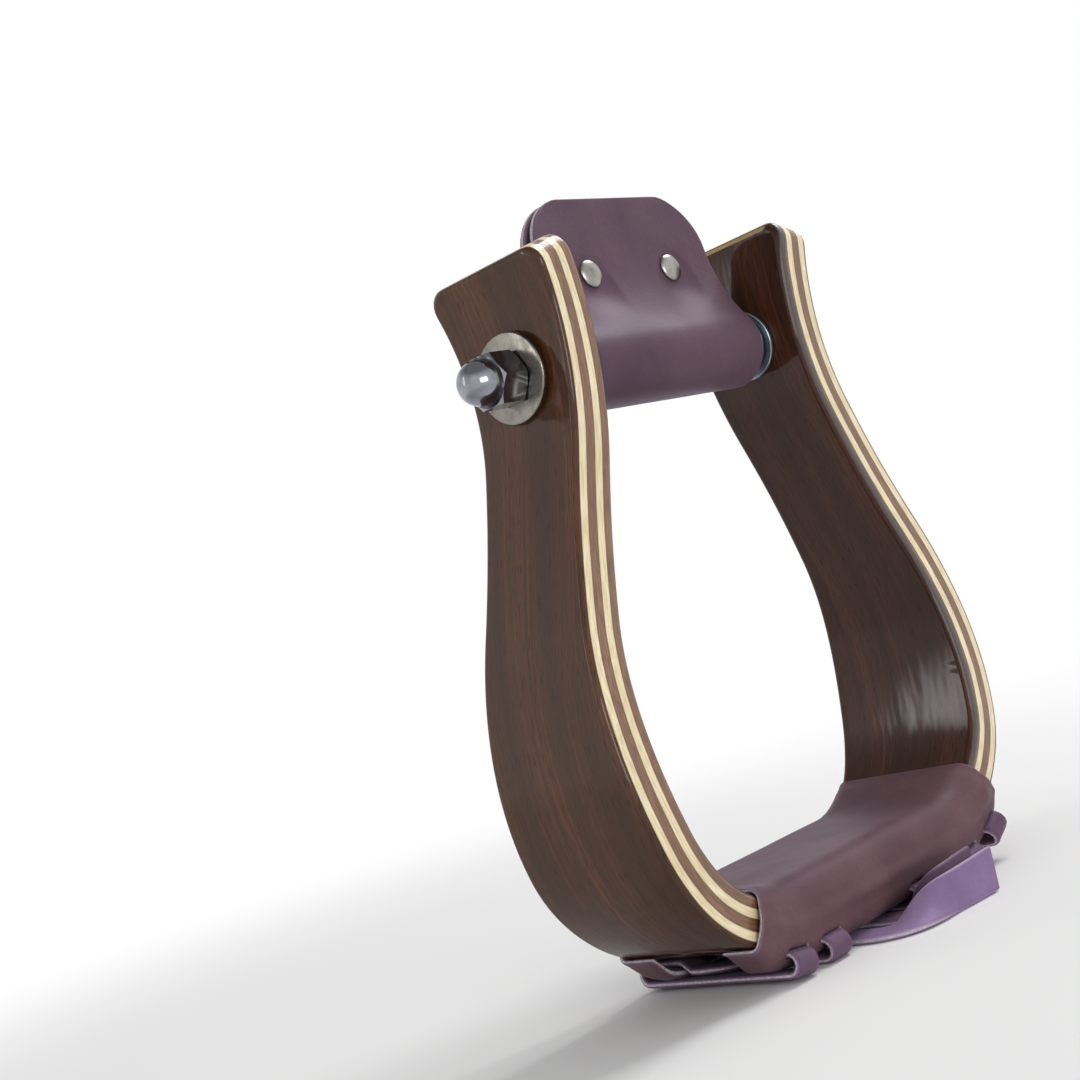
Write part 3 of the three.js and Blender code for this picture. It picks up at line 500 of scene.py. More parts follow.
def apply_boolean(piece, other, operation):
    """Cuts, joins or intersects with another piece, which is used up."""
    modifier = piece.modifiers.new("boolean", "BOOLEAN")
    modifier.operation = operation
    modifier.solver = "EXACT"
    modifier.material_mode = "TRANSFER"
    modifier.object = other
    select_only(piece)
    bpy.ops.object.modifier_apply(modifier=modifier.name)
    bpy.data.objects.remove(other)


def finish_piece(piece, body, node):
    """Hands a piece over: the body it rides on, and the CAD node it stands for, which is hidden."""
    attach(piece, body)
    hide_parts(node)


# ---- the laminate: six plies bent on one form

def bow_stations():
    """361 lengths along the bow, about 1.5 mm apart, and closer round the tips' corners."""
    to_corner = FACE_LENGTH - TIP_CORNER
    half = [to_corner * i / 174 for i in range(174)]
    half += [to_corner + TIP_CORNER * math.sin(i / 6 * math.pi / 2) for i in range(7)]
    return [-s for s in reversed(half[1:])] + half


BOW_STATIONS = bow_stations()


def ply_depths(outer, inner):
    """Depths of a ply's rows, closer together where the eased edges curve."""
    rows = {outer, inner, outer + 0.15, inner - 0.15, (outer + inner) / 2}
    for i in range(0, 91, 10):
        rows.add(OUTER_EDGE * (1 - math.cos(i * DEGREE)))
        rows.add(LAMINATE - INNER_EDGE * (1 - math.sin(i * DEGREE)))
    return sorted(d for d in rows if outer - 1e-9 <= d <= inner + 1e-9)


def bend_ply(name, outer, inner, material, node):
    """One ply between two depths from the outer face, bent, shaped at its edges and tips, and drilled for the bolt."""
    depths = ply_depths(outer, inner)

    def form(u, v, w):
        along = BOW_STATIONS[round(u * (len(BOW_STATIONS) - 1))]
        depth = depths[round(w * (len(depths) - 1))]
        side = 2 * v - 1
        eased = round_off(OUTER_EDGE, depth) + round_off(INNER_EDGE, LAMINATE - depth)
        across = side * (half_width(along) - eased)
        near_tip = max(0, 1 - (FACE_LENGTH - abs(along)) / (2 * TIP_CORNER))
        from_face = min(depth, LAMINATE - depth)
        pulled = along - math.copysign(near_tip * round_off(TIP_EDGE, from_face), along)
        # On wood the rim is the distance in mm from the nearest glue line
        if outer == 0:
            rim = inner - depth
        elif inner < LAMINATE:
            rim = min(depth - outer, inner - depth)
        else:
            rim = depth - outer
        return place(pulled, across, depth), rim, Vector((along, across, depth)) * MM

    piece = formed_block(name, [(18, 20), (10,), (len(depths) - 1,)], form, [material])
    bpy.ops.object.select_all(action="DESELECT")
    bpy.ops.mesh.primitive_cylinder_add(vertices=48, radius=BORE_RADIUS * MM, depth=0.3,
                                        location=(0, 0, BOLT_HEIGHT * MM), rotation=(0, math.pi / 2, 0))
    drill = bpy.context.object
    drill.data.materials.append(material)
    apply_boolean(piece, drill, "DIFFERENCE")
    finish_piece(piece, "frame", node)


PLIES = [
    ("outer_veneer", 1.4, VENEER, "face_veneer"), ("outer_pale_ply", 2.8, PALE_PLY, "pale_ply"),
    ("middle_brown_ply", 3.1, BROWN_PLY, "brown_ply"), ("inner_pale_ply", 2.8, PALE_PLY, "pale_ply"),
    ("inner_brown_ply", 3.0, BROWN_PLY, "brown_ply"), ("inner_veneer", 0.8, FOOT_SIDE_VENEER, "face_veneer"),
]
laid = 0
for node, thickness, material, slot in PLIES:
    bend_ply(f"bent_{node}", laid, laid + thickness, material, node)
    laid += thickness


# ---- the tread cover

def spread(parts, low, high, close=()):
    """Even steps from low to high, with extra ones close to both ends."""
    steps = [low + (high - low) * i / parts for i in range(parts + 1)]
    extra = [low + c for c in close] + [high - c for c in close]
    return sorted(set(steps + extra))


COVER_STATIONS = spread(112, COVER_LEFT, COVER_RIGHT, close=(0.08, 0.3, 0.7, 0.95))


def stand_off(along):
    """How far the flaps stand off the wood: 1 beside the lace, down to 0 at the cover's two ends."""
    left, right = FIRST_LEFT - COVER_LEFT, COVER_RIGHT - FIRST_RIGHT
    reach = LACE_WIDTH / 2 + 2 * GAP
    share = (along - COVER_LEFT) / (left - reach) if along < 0 else (COVER_RIGHT - along) / (right - reach)
    return ease(share)


def cover_contour(along, outset, upper, lower):
    """Half of the cover's inner or outer face in cross-section, as (across, depth), from the flap's edge to the
    middle of the top; outset is the distance from the inner face, and upper and lower are its corner radii."""
    side = half_width(along) + GAP + outset
    flap = (FLAP_DEPTH + GAP) * stand_off(along) - GAP - outset
    top = LAMINATE + GAP + outset
    points = [(FLAP_EDGE + (side - lower - FLAP_EDGE) * i / 6, flap) for i in range(6)]
    for i in range(10):
        angle = i / 10 * math.pi / 2
        points.append((side - lower * (1 - math.sin(angle)), flap + lower * (1 - math.cos(angle))))
    for i in range(7):
        bulge = SIDE_BULGE * math.sin(math.pi * i / 7)
        points.append((side + bulge, flap + lower + (top - upper - flap - lower) * i / 7))
    for i in range(10):
        angle = i / 10 * math.pi / 2
        points.append((side - upper * (1 - math.cos(angle)), top - upper * (1 - math.sin(angle))))
    return points + [((side - upper) * (1 - i / 12), top) for i in range(13)]


# The number of the contour's last point, in the middle of the top, and the distance between its points on a flap
TOP_MIDDLE = 45
FLAP_STEP = 1.2


def cover_form(u, v, w):
    along = COVER_STATIONS[round(u * (len(COVER_STATIONS) - 1))]
    index = round(v * 2 * TOP_MIDDLE)
    side = 1 if index <= TOP_MIDDLE else -1
    index = min(index, 2 * TOP_MIDDLE - index)
    share = stand_off(along)
    lower = OUTER_EDGE + GAP + (FLAP_BEND - OUTER_EDGE - GAP) * share
    inner = cover_contour(along, 0, INNER_EDGE + GAP, lower)[index]
    outer = cover_contour(along, LEATHER, SHOULDER_RADIUS, lower + LEATHER + 1.2 * share)[index]
    to_end = min(along - COVER_LEFT, COVER_RIGHT - along)
    to_flap_edge = index * FLAP_STEP
    # Skived to about half its thickness over the last 8 mm of both ends, with every cut edge softened
    skive = 0.55 + 0.45 * ease(to_end / 8)
    edge = soften(to_end, 1, 0) * soften(to_flap_edge, 1, 0)
    part = skive * (0.5 + (w - 0.5) * (0.35 + 0.65 * edge))
    across = inner[0] + (outer[0] - inner[0]) * part
    depth = inner[1] + (outer[1] - inner[1]) * part
    if w > 0.5:
        # Hide never lies quite flat: soft hollows 0.2 mm deep and about 17 mm across, and shallower ones of 6 mm
        wave = 0.2 * noise.noise(Vector((along, side * across, depth)) * 0.06)
        wave += 0.07 * noise.noise(Vector((side * across, along, depth)) * 0.17)
        wave *= min(1, to_end / 6) / LEATHER
        across += (outer[0] - inner[0]) * wave
        depth += (outer[1] - inner[1]) * wave
    near = 1 - min(1, min(to_end, to_flap_edge) / 1.5)
    return place(along, side * across, depth), near


SLOTS_IN_FRONT = [FIRST_LEFT + i * LACE_PITCH for i in range(LEFT_BARS)]
SLOTS_IN_FRONT += [FIRST_RIGHT - i * LACE_PITCH for i in range(RIGHT_BARS)]
LEFT_EXIT = FIRST_LEFT + LEFT_BARS * LACE_PITCH
RIGHT_EXIT = FIRST_RIGHT - RIGHT_BARS * LACE_PITCH


def slot_punch(along, side):
    """A punched slot, a long hole with round ends, straight out through the cover's lower corner."""
    half_length, round_end, reach = LACE_WIDTH / 2 + GAP, 1.2, 9.9
    low, high = FLAP_DEPTH - 0.1, 0

    def form(u, v, w):
        length = half_length * (2 * u - 1)
        past = max(0, abs(length) - (half_length - round_end)) / round_end
        tall = math.sqrt(max(0.06, 1 - past * past))
        depth = (low + high) / 2 + (high - low) * (w - 0.5) * tall
        across = half_width(along) - SLOT_INSET + reach * v
        return place(along + length, side * across, depth), 1

    return formed_block("punch", [(16,), (3,), (2,)], form, [CUT_EDGE])


cover = formed_block("wrapped_tread_cover", [(10, 12), (2 * TOP_MIDDLE,), (3,)], cover_form,
                     [COVER_LEATHER, CUT_EDGE])
punches = [slot_punch(along, -1) for along in SLOTS_IN_FRONT]
punches += [slot_punch(along, 1) for along in [*SLOTS_IN_FRONT, LEFT_EXIT, RIGHT_EXIT]]
select_only(*punches)
bpy.ops.object.join()
apply_boolean(cover, punches[0], "DIFFERENCE")
finish_piece(cover, "frame", "tread_cover")


# ---- the lace: strips swept along a run of frames (centre, direction of the width, direction of the thickness)

def catmull(points, t):
    """A point on the smooth curve through points, spaced by the square roots of their distances."""
    count = len(points) - 1
    index = min(int(t * count), count - 1)
    share = t * count - index
    before = points[index - 1] if index > 0 else 2 * points[0] - points[1]
    after = points[index + 2] if index + 2 <= count else 2 * points[count] - points[count - 1]
    four = [before, points[index], points[index + 1], after]
    steps = [max((four[i + 1] - four[i]).length ** 0.5, 1e-4) for i in range(3)]
    start = ((four[1] - four[0]) / steps[0] - (four[2] - four[0]) / (steps[0] + steps[1])
             + (four[2] - four[1]) / steps[1]) * steps[1]
    end = ((four[2] - four[1]) / steps[1] - (four[3] - four[1]) / (steps[1] + steps[2])
           + (four[3] - four[2]) / steps[2]) * steps[1]
    a, b = four[1], four[2]
    return (a + start * share + (3 * (b - a) - 2 * start - end) * share ** 2
            + (2 * (a - b) + start + end) * share ** 3)


def running_lengths(points):
    """The length from the first point to each, along a line through them."""
    lengths = [0]
    for a, b in zip(points, points[1:]):
        lengths.append(lengths[-1] + (b - a).length)
    return lengths


def find_span(lengths, target):
    """The span that a length falls in, and the share of it that lies before."""
    index = 0
    while index < len(lengths) - 2 and lengths[index + 1] < target:
        index += 1
    return index, (target - lengths[index]) / (lengths[index + 1] - lengths[index])


def even_steps(points, count):
    """A smooth curve's parameter at equal lengths along it, and its whole length."""
    fine = 20 * (len(points) - 1)
    samples = [i / fine for i in range(fine + 1)]
    lengths = running_lengths([catmull(points, t) for t in samples])
    result = []
    for i in range(count + 1):
        index, share = find_span(lengths, lengths[-1] * i / count)
        result.append(samples[index] + (samples[index + 1] - samples[index]) * share)
    return result, lengths[-1]


# A strip's rows of points across its width, as shares of it, closer together at the edges
STRIP_ROWS = [0, 0.012, 0.045, 0.1, 0.22, 0.36, 0.5, 0.64, 0.78, 0.9, 0.955, 0.988, 1]


def strip(name, cells, frame_at, length, leather, tip=None):
    """A thong with softened edges: frame_at(t) gives its centre, its directions of width and thickness, and its
    width. Where tip gives a direction, the far end is cut at a slant of 4 mm."""
    count = math.prod(cells)
    rows = len(STRIP_ROWS) - 1

    def form(u, v, w):
        t = round(u * count) / count
        centre, wide, thick, width = frame_at(t)
        row = STRIP_ROWS[round(v * rows)]
        across = (row - 0.5) * width
        from_edge = min(row, 1 - row) * width
        lift = (w - 0.5) * LACE_THICKNESS * soften(from_edge, 0.75, 0.09)
        # The thong is a little thicker in some places than in others
        lift *= 1 + 0.06 * noise.noise(Vector((t * length * 0.12, across * 0.2, 3)))
        position = centre + wide * across + thick * lift
        if tip:
            position += tip * (t ** 12) * (row - 0.5) * 4
        near = 1 - min(1, from_edge / 0.9)
        return position * MM, near

    return formed_block(name, [cells, (rows,), (2,)], form, [leather, CUT_EDGE])


def lace_end(first, step, bars):
    """One end of the lace as (along, across, depth) frames, from the middle run to its free end."""
    frames = []
    outward = -math.copysign(1, step)
    bar_end = TREAD_WIDTH / 2 - SLOT_INSET
    turn_radius = 9
    loop_radius = (INNER_LACE - BAR_DEPTH) / 2
    loop_stand_off = 1.2

    def add(along, across, depth, thick, wide=(-1, 0, 0)):
        frames.append((Vector((along, across, depth)), Vector(wide), Vector(thick)))

    # A flat quarter turn out of the middle run, and through the gap between the flaps to the inside
    for i in range(7):
        angle = i / 6 * math.pi / 2
        add(first - outward * turn_radius * (1 - math.sin(angle)), turn_radius * (1 - math.cos(angle)), MIDDLE_LACE,
            (0, 0, 1), (-math.sin(angle), outward * math.cos(angle), 0))
    add(first, FLAP_EDGE - GAP, INNER_LACE, (0, 0, 1))

    def loop_round(along, side):
        for degrees in range(90, -91, -15):
            angle = side * degrees * DEGREE
            add(along, side * (half_width(along) + GAP + loop_stand_off + loop_radius * math.cos(angle)),
                BAR_DEPTH + loop_radius * (1 + math.sin(angle)), (0, side * math.cos(angle), math.sin(angle)))

    def inside_slot(along, side):
        add(along, side * (half_width(along) - SLOT_INSET), INNER_LACE, (0, 0, 1))

    # Each bar passes under the flaps from a loop at the back to one in front, and a slanting run inside carries on to
    # the next
    for i in range(bars):
        along = first + i * step
        loop_round(along, 1)
        loop_round(along, -1)
        inside_slot(along, -1)
        for part in (0.25, 0.5, 0.75):
            add(along + step * part, -bar_end * (1 - 2 * part), INNER_LACE, (0, 0, 1))
        inside_slot(along + step, 1)
    last = first + bars * step
    loop_round(last, 1)
    add(last, -bar_end, BAR_DEPTH, (0, 0, -1))
    return frames


def on_wood(centre, wide, thick):
    """A frame set square to the bentwood at its centre, in millimetres."""
    heading = point_on_face(centre.x)[2]
    turn = Matrix.Rotation(-heading, 3, "Y")
    return place(*centre) / MM, turn @ wide, turn @ thick


def make_tread_lace():
    """The lace from its last bar on the left, through the middle run, to its last bar on the right."""
    left = [(c, -w, t) for c, w, t in reversed(lace_end(FIRST_LEFT, LACE_PITCH, LEFT_BARS))]
    right = lace_end(FIRST_RIGHT, -LACE_PITCH, RIGHT_BARS)
    middle = [(Vector((along, 0, MIDDLE_LACE)), Vector((0, 1, 0)), Vector((0, 0, 1)))
              for along in (-24, -8, 8, 24, 37, 44)]
    frames = [on_wood(*f) for f in [*left, *middle, *right]]
    centres = [f[0] for f in frames]
    lengths = running_lengths(centres)

    def frame_at(t):
        index, share = find_span(lengths, lengths[-1] * t)
        centre = centres[index].lerp(centres[index + 1], share)
        wide = frames[index][1].lerp(frames[index + 1][1], share).normalized()
        thick = frames[index][2].lerp(frames[index + 1][2], share).normalized()
        return centre, wide, thick, LACE_WIDTH

    lace = strip("laced_thong", (30, 25), frame_at, lengths[-1], LACE_LEATHER)
    finish_piece(lace, "frame", "tread_lace")


TAIL_STEPS = 60
TAIL_WIDENING = 3
FLOOR_GAP = 0.1


def make_tail(name, node, exit_along, route, end_twist, leather):
    """A free end of the lace: it follows a route of (right, back) points from its last bar, lying flat at first, then
    turns by the end's twist onto its edge, and always rests on the floor."""
    flat_height = LACE_THICKNESS / 2 + FLOOR_GAP
    start = Vector((exit_along, -(TREAD_WIDTH / 2 - SLOT_INSET) - GAP, flat_height))
    points = [start] + [Vector((exit_along + right, back, flat_height)) for right, back in route]
    steps, length = even_steps(points, TAIL_STEPS)
    centres = [catmull(points, t) for t in steps]
    frames, wide = [], Vector((1, 0, 0))
    for i, centre in enumerate(centres):
        t = i / TAIL_STEPS
        if i == 0:
            heading = Vector((0, -1, 0))
        else:
            heading = (centres[min(i + 1, TAIL_STEPS)] - centres[i - 1]).normalized()
        wide = (wide - heading * wide.dot(heading)).normalized()
        turned_wide = Matrix.Rotation(end_twist * DEGREE * ease((t - 0.2) / 0.5), 3, heading) @ wide
        thick = heading.cross(turned_wide)
        width = LACE_WIDTH + TAIL_WIDENING * t
        reach = abs(turned_wide.z) * width / 2 + abs(thick.z) * LACE_THICKNESS / 2
        lifted = centre + Vector((0, 0, max(0, FLOOR_GAP + reach - centre.z)))
        frames.append((lifted, turned_wide, thick, width))
    heading = (centres[-1] - centres[-2]).normalized()
    tail = strip(name, (10, 6), lambda t: frames[round(t * TAIL_STEPS)], length, leather, tip=heading)
    finish_piece(tail, "frame", node)


make_tread_lace()
# The front free end wears the lace leather's painted lit copy; the rear one keeps the lace's own leather
make_tail("free_end_front", "lace_tail_front", LEFT_EXIT,
          [(0, -24), (0.5, -30), (4, -36.5), (12, -41), (24, -43.5), (40, -45)], 80, PAINTED_LIT_LACE_LEATHER)
make_tail("free_end_rear", "lace_tail_rear", RIGHT_EXIT,
          [(0, -24), (1, -28), (4.5, -31.7), (13, -34.5), (29, -36)], 75, LACE_LEATHER)


# ---- bolt, washers and domed nuts

SIDES = ((-1, "left"), (1, "right"))
ON_BOLT = Matrix.Translation((0, 0, BOLT_HEIGHT * MM))
ALONG_X = Matrix.Rotation(math.pi / 2, 4, "Y")


def washer_profile(diameter):
    """A stamped washer's section: its hole slightly chamfered and its rim rounded."""
    hole, rim, chamfer, rounding = BORE_RADIUS, diameter / 2, 0.2, 0.45
    lower = [(rim - rounding + rounding * math.sin(i * DEGREE), rounding - rounding * math.cos(i * DEGREE))
             for i in range(0, 91, 18)]
    upper = [(r, WASHER_THICKNESS - h) for r, h in reversed(lower)]
    return [(hole, chamfer), (hole + chamfer, 0), *lower, *upper, (hole + chamfer, WASHER_THICKNESS),
            (hole, WASHER_THICKNESS - chamfer), (hole, chamfer)]


def on_leg(side, x, share=1):
    """Where a piece made round Z goes on a leg: its Z points out of the bow, turned by a share of the leg's slope."""
    slope = LEG_SLOPE * share
    turn = -slope if side > 0 else math.pi + slope
    return Matrix.Translation((side * x * MM, 0, BOLT_HEIGHT * MM)) @ Matrix.Rotation(turn, 4, "Y") @ ALONG_X


def domed_nut(name):
    """A domed nut on Z: a hexagon with its corners turned off at 30 degrees, joined to its dome, drilled from below
    and eased. It reaches 0.4 mm below its seat, towards the washer."""
    base, flat, corner = -0.4, NUT_FLATS / 2, NUT_FLATS / math.sqrt(3)
    bpy.ops.object.select_all(action="DESELECT")
    bpy.ops.mesh.primitive_cylinder_add(vertices=6, radius=corner * MM, depth=(NUT_HEX - base) * MM,
                                        location=(0, 0, (NUT_HEX + base) / 2 * MM))
    nut = take_new(name)
    nut.data.materials.append(NICKEL)
    chamfer = (corner - flat) * math.tan(30 * DEGREE)
    limit = [(flat, base), (corner + 0.05, base + chamfer), (corner + 0.05, NUT_HEX - chamfer), (flat, NUT_HEX)]
    apply_boolean(nut, turned("limit", limit, NICKEL), "INTERSECT")
    dome = NUT_DOME / 2
    crown = [(dome, NUT_HEX / 2), (dome, NUT_LENGTH - dome)]
    crown += [(dome * math.cos(i * DEGREE), NUT_LENGTH - dome + dome * math.sin(i * DEGREE))
              for i in range(6, 90, 6)]
    apply_boolean(nut, turned("crown", [*crown, (0.12, NUT_LENGTH)], NICKEL), "UNION")
    drilled = [(BOLT_RADIUS + GAP, -1), (BOLT_RADIUS + GAP, 12.4), (0.6, 13.5)]
    apply_boolean(nut, turned("bore", drilled, ZINC), "DIFFERENCE")
    bevel = nut.modifiers.new("eased_edges", "BEVEL")
    bevel.width, bevel.segments, bevel.limit_method, bevel.angle_limit = 0.15 * MM, 2, "ANGLE", 28 * DEGREE
    select_only(nut)
    bpy.ops.object.modifier_apply(modifier=bevel.name)
    bpy.ops.object.shade_smooth_by_angle(angle=24 * DEGREE)
    return nut


for side, word in SIDES:
    outer = revolved(f"{word}_flat_washer", washer_profile(OUTER_WASHER), WASHER_NICKEL)
    outer.data.transform(on_leg(side, OUTER_WASHER_X, 0.5))
    finish_piece(outer, "frame", f"{word}_outer_washer")
    inner = revolved(f"{word}_small_washer", washer_profile(INNER_WASHER), ZINC)
    inner.data.transform(on_leg(side, INNER_WASHER_X) @ Matrix.Translation((0, 0, -WASHER_THICKNESS * MM)))
    finish_piece(inner, "frame", f"{word}_inner_washer")
    nut = domed_nut(f"{word}_domed_nut")
    outward = Matrix.Rotation(side * math.pi / 2, 4, "Y")
    nut.data.transform(Matrix.Translation((side * NUT_X * MM, 0, BOLT_HEIGHT * MM)) @ outward)
    finish_piece(nut, "frame", f"{word}_acorn_nut")

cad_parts["bolt"].data.materials.clear()
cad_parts["bolt"].data.materials.append(ZINC)


# ---- the hanger: a strap folded round its sleeve and riveted above it

HANGER_SEAT = ON_BOLT @ Matrix.Rotation(-HANGER_LEAN * DEGREE, 4, "X")
# Middle of the strap from the sleeve's middle, and of each of its two layers from the plane between them
STRAP_MIDDLE = SLEEVE_RADIUS + GAP + LEATHER / 2
LAYER = GAP / 2 + LEATHER / 2
# Above the bolt, the height from which the two layers may spring apart, and how far they do
SPRING_START, SPRING = 8, 0.8


def strap_path():
    """Middle line of the folded strap in 111 points, from its front top edge round the sleeve to its rear top edge,
    with the direction outwards at each point, as (across, height, outward across, outward height)."""
    neck_x = LAYER + HANGER_NECK
    neck_z = math.sqrt((STRAP_MIDDLE + HANGER_NECK) ** 2 - neck_x ** 2)
    touch = math.atan2(neck_z, neck_x)
    rear = []
    for i in range(22):
        angle = -math.pi / 2 + (touch + math.pi / 2) * i / 22
        rear.append((STRAP_MIDDLE * math.cos(angle), STRAP_MIDDLE * math.sin(angle),
                     math.cos(angle), math.sin(angle)))
    for i in range(19):
        angle = math.pi + touch * (1 - i / 18)
        rear.append((neck_x + HANGER_NECK * math.cos(angle), neck_z + HANGER_NECK * math.sin(angle),
                     -math.cos(angle), -math.sin(angle)))
    rear.append((LAYER, (neck_z + HANGER_LENGTH - HANGER_CORNER) / 2, 1, 0))
    for i in range(14):
        rear.append((LAYER, HANGER_LENGTH - HANGER_CORNER * (1 - math.sin(i / 13 * math.pi / 2)), 1, 0))
    return [(-a, h, -oa, oh) for a, h, oa, oh in reversed(rear[1:])] + rear


STRAP_PATH = strap_path()
HANGER_ROWS = spread(88, -1, 1, close=(0.004, 0.012))


def pressed_in(x, height, outer_face):
    """How far the rivets draw a layer in, so that its outer face lies flat under their caps and rises in a dish
    round them. The draw fades out towards the roll, from 22 mm down to 7 mm above the bolt."""
    nearest = min(math.hypot(x - r, height - RIVET_HEIGHT) for r in (-RIVET_SPACING, RIVET_SPACING))
    allowed = GAP / 2 + LEATHER - 0.03 + 0.075 * max(0, nearest - RIVET_RADIUS - 0.4) ** 1.6
    return max(0, outer_face - allowed) * ease((height - 7) / 15)


def hanger_form(u, v, w):
    across, height, out_across, out_height = STRAP_PATH[round(v * (len(STRAP_PATH) - 1))]
    side = HANGER_ROWS[round(u * (len(HANGER_ROWS) - 1))]
    half = HANGER_HALF - round_off(HANGER_CORNER, HANGER_LENGTH - height)
    x = side * half
    to_side = (1 - abs(side)) * half
    to_top = HANGER_LENGTH - height
    lift = LEATHER * (w - 0.5) * (soften(to_side, 0.7, 0.12) * soften(to_top, 0.7, 0.12))
    # Away from the rivets the layers spring apart a little towards their free sides
    free = (abs(x) / HANGER_HALF) ** 3
    risen = min(max((height - SPRING_START) / (HANGER_LENGTH - SPRING_START), 0), 1)
    spring = SPRING * free * math.sin(math.pi * risen)
    # The outer face has soft hollows about 14 mm across, shallower on the roll's underside
    ripple = 0.14 * noise.noise(Vector((x, across * 3, height)) * 0.07) if w > 0.5 else 0
    lift += spring + ripple * min(1, to_top / 5) * (1 if height > 0 else 0.4)
    outer_face = abs(across) + abs(out_across) * (LEATHER / 2 + spring)
    y = across + out_across * lift - math.copysign(pressed_in(x, height, outer_face), across)
    point = Vector((x, y, height + out_height * lift)) * MM
    near = 1 - min(1, min(to_side, to_top) / 1.6)
    return HANGER_SEAT @ point, near


# 92 parts from side to side, one between each two rows, and 110 along the path
hanger = formed_block("folded_leather_hanger", [(2, 46), (2, 55), (2,)], hanger_form, [HANGER_LEATHER, CUT_EDGE])
for side in (-1, 1):
    bpy.ops.object.select_all(action="DESELECT")
    bpy.ops.mesh.primitive_cylinder_add(vertices=32, radius=RIVET_HOLE * MM, depth=0.03,
                                        location=(side * RIVET_SPACING * MM, 0, RIVET_HEIGHT * MM),
                                        rotation=(math.pi / 2, 0, 0))
    punch = take_new("punch")
    punch.data.materials.append(CUT_EDGE)
    punch.data.transform(HANGER_SEAT)
    apply_boolean(hanger, punch, "DIFFERENCE")
finish_piece(hanger, "hanger", "leather_hanger")

chamfer = 0.4
sleeve_profile = [
    (BORE_RADIUS, -SLEEVE_HALF + chamfer), (BORE_RADIUS + chamfer, -SLEEVE_HALF),
    (SLEEVE_RADIUS - chamfer, -SLEEVE_HALF), (SLEEVE_RADIUS, -SLEEVE_HALF + chamfer),
    (SLEEVE_RADIUS, SLEEVE_HALF - chamfer), (SLEEVE_RADIUS - chamfer, SLEEVE_HALF),
    (BORE_RADIUS + chamfer, SLEEVE_HALF), (BORE_RADIUS, SLEEVE_HALF - chamfer), (BORE_RADIUS, -SLEEVE_HALF + chamfer),
]
sleeve = revolved("steel_sleeve", sleeve_profile, ZINC)
sleeve.data.transform(HANGER_SEAT @ ALONG_X)
finish_piece(sleeve, "hanger", "roller_sleeve")

# Where the rivets' heads and caps lie on the leather, and where their posts end, from the plane between the layers
CAP_FACE = GAP / 2 + LEATHER + GAP
POST_END = CAP_FACE + GAP + 0.8


def cap_crown(height):
    """A rivet's low dome from its rim to near its middle."""
    return [(RIVET_RADIUS * math.cos(i * DEGREE), CAP_FACE + height * math.sin(i * DEGREE)) for i in range(0, 86, 8)]


for side, word in SIDES:
    seat = HANGER_SEAT @ Matrix.Translation((side * RIVET_SPACING * MM, 0, RIVET_HEIGHT * MM))
    head = turned(f"{word}_rivet_head", [
        (POST_RADIUS - 0.2, -POST_END), (POST_RADIUS, -POST_END + 0.2), (POST_RADIUS, CAP_FACE),
        (RIM_RADIUS, CAP_FACE), *cap_crown(HEAD_RISE)], RIVET_NICKEL)
    head.data.transform(seat @ Matrix.Rotation(math.pi / 2, 4, "X"))
    finish_piece(head, "hanger", f"{word}_rivet")
    # The cap's blind hole takes the post's end, and its section starts and ends a hair off the axis
    cap = revolved(f"{word}_rivet_back", [
        (0.01, POST_END + GAP), (RIVET_HOLE, POST_END + GAP), (RIVET_HOLE, CAP_FACE), (RIM_RADIUS, CAP_FACE),
        *cap_crown(CAP_RISE), (0.01, CAP_FACE + CAP_RISE), (0.01, POST_END + GAP)], RIVET_NICKEL)
    cap.data.transform(seat @ Matrix.Rotation(-math.pi / 2, 4, "X"))
    finish_piece(cap, "hanger", f"{word}_rivet_cap")


# ---- floor, light and camera

def sees_background(tree):
    """1 for what shows the background: the camera's own rays, and those off gloss or through glass."""
    path = add_node(tree, "ShaderNodeLightPath")
    seen = add_node(tree, "ShaderNodeMath", {0: path.outputs["Is Camera Ray"], 1: path.outputs["Is Glossy Ray"]},
                    operation="MAXIMUM")
    seen = add_node(tree, "ShaderNodeMath", {0: seen.outputs[0], 1: path.outputs["Is Transmission Ray"]},
                    operation="MAXIMUM")
    return seen.outputs[0]


def white_paper():
    """Matt white paper: it takes the object's shadow, and far from the object it is plain white."""
    material, tree, shader = start_material(
        "white_paper", Roughness=1.0, Specular_IOR_Level=0.0, Base_Color=colour("#f2f2f2"))
    place_on = add_node(tree, "ShaderNodeTexCoord").outputs["Object"]
    reach = add_node(tree, "ShaderNodeVectorMath", {0: place_on}, operation="LENGTH")
    far = add_node(tree, "ShaderNodeMapRange", {0: reach.outputs["Value"], 1: 0.25, 2: 0.6},
                   interpolation_type="SMOOTHSTEP")
    share = add_node(tree, "ShaderNodeMath", {0: far.outputs[0], 1: sees_background(tree)}, operation="MULTIPLY")
    white = add_node(tree, "ShaderNodeEmission", {"Color": (1, 1, 1, 1), "Strength": 1})
    mixed = add_node(tree, "ShaderNodeMixShader",
                     {0: share.outputs[0], 1: shader.outputs[0], 2: white.outputs[0]})
    tree.links.new(mixed.outputs[0], tree.nodes["Material Output"].inputs["Surface"])
    return material


bpy.ops.object.select_all(action="DESELECT")
bpy.ops.mesh.primitive_plane_add(size=8, location=(0, 0, 0))
floor = bpy.context.object
floor.name = "paper_floor"
floor.data.materials.append(white_paper())


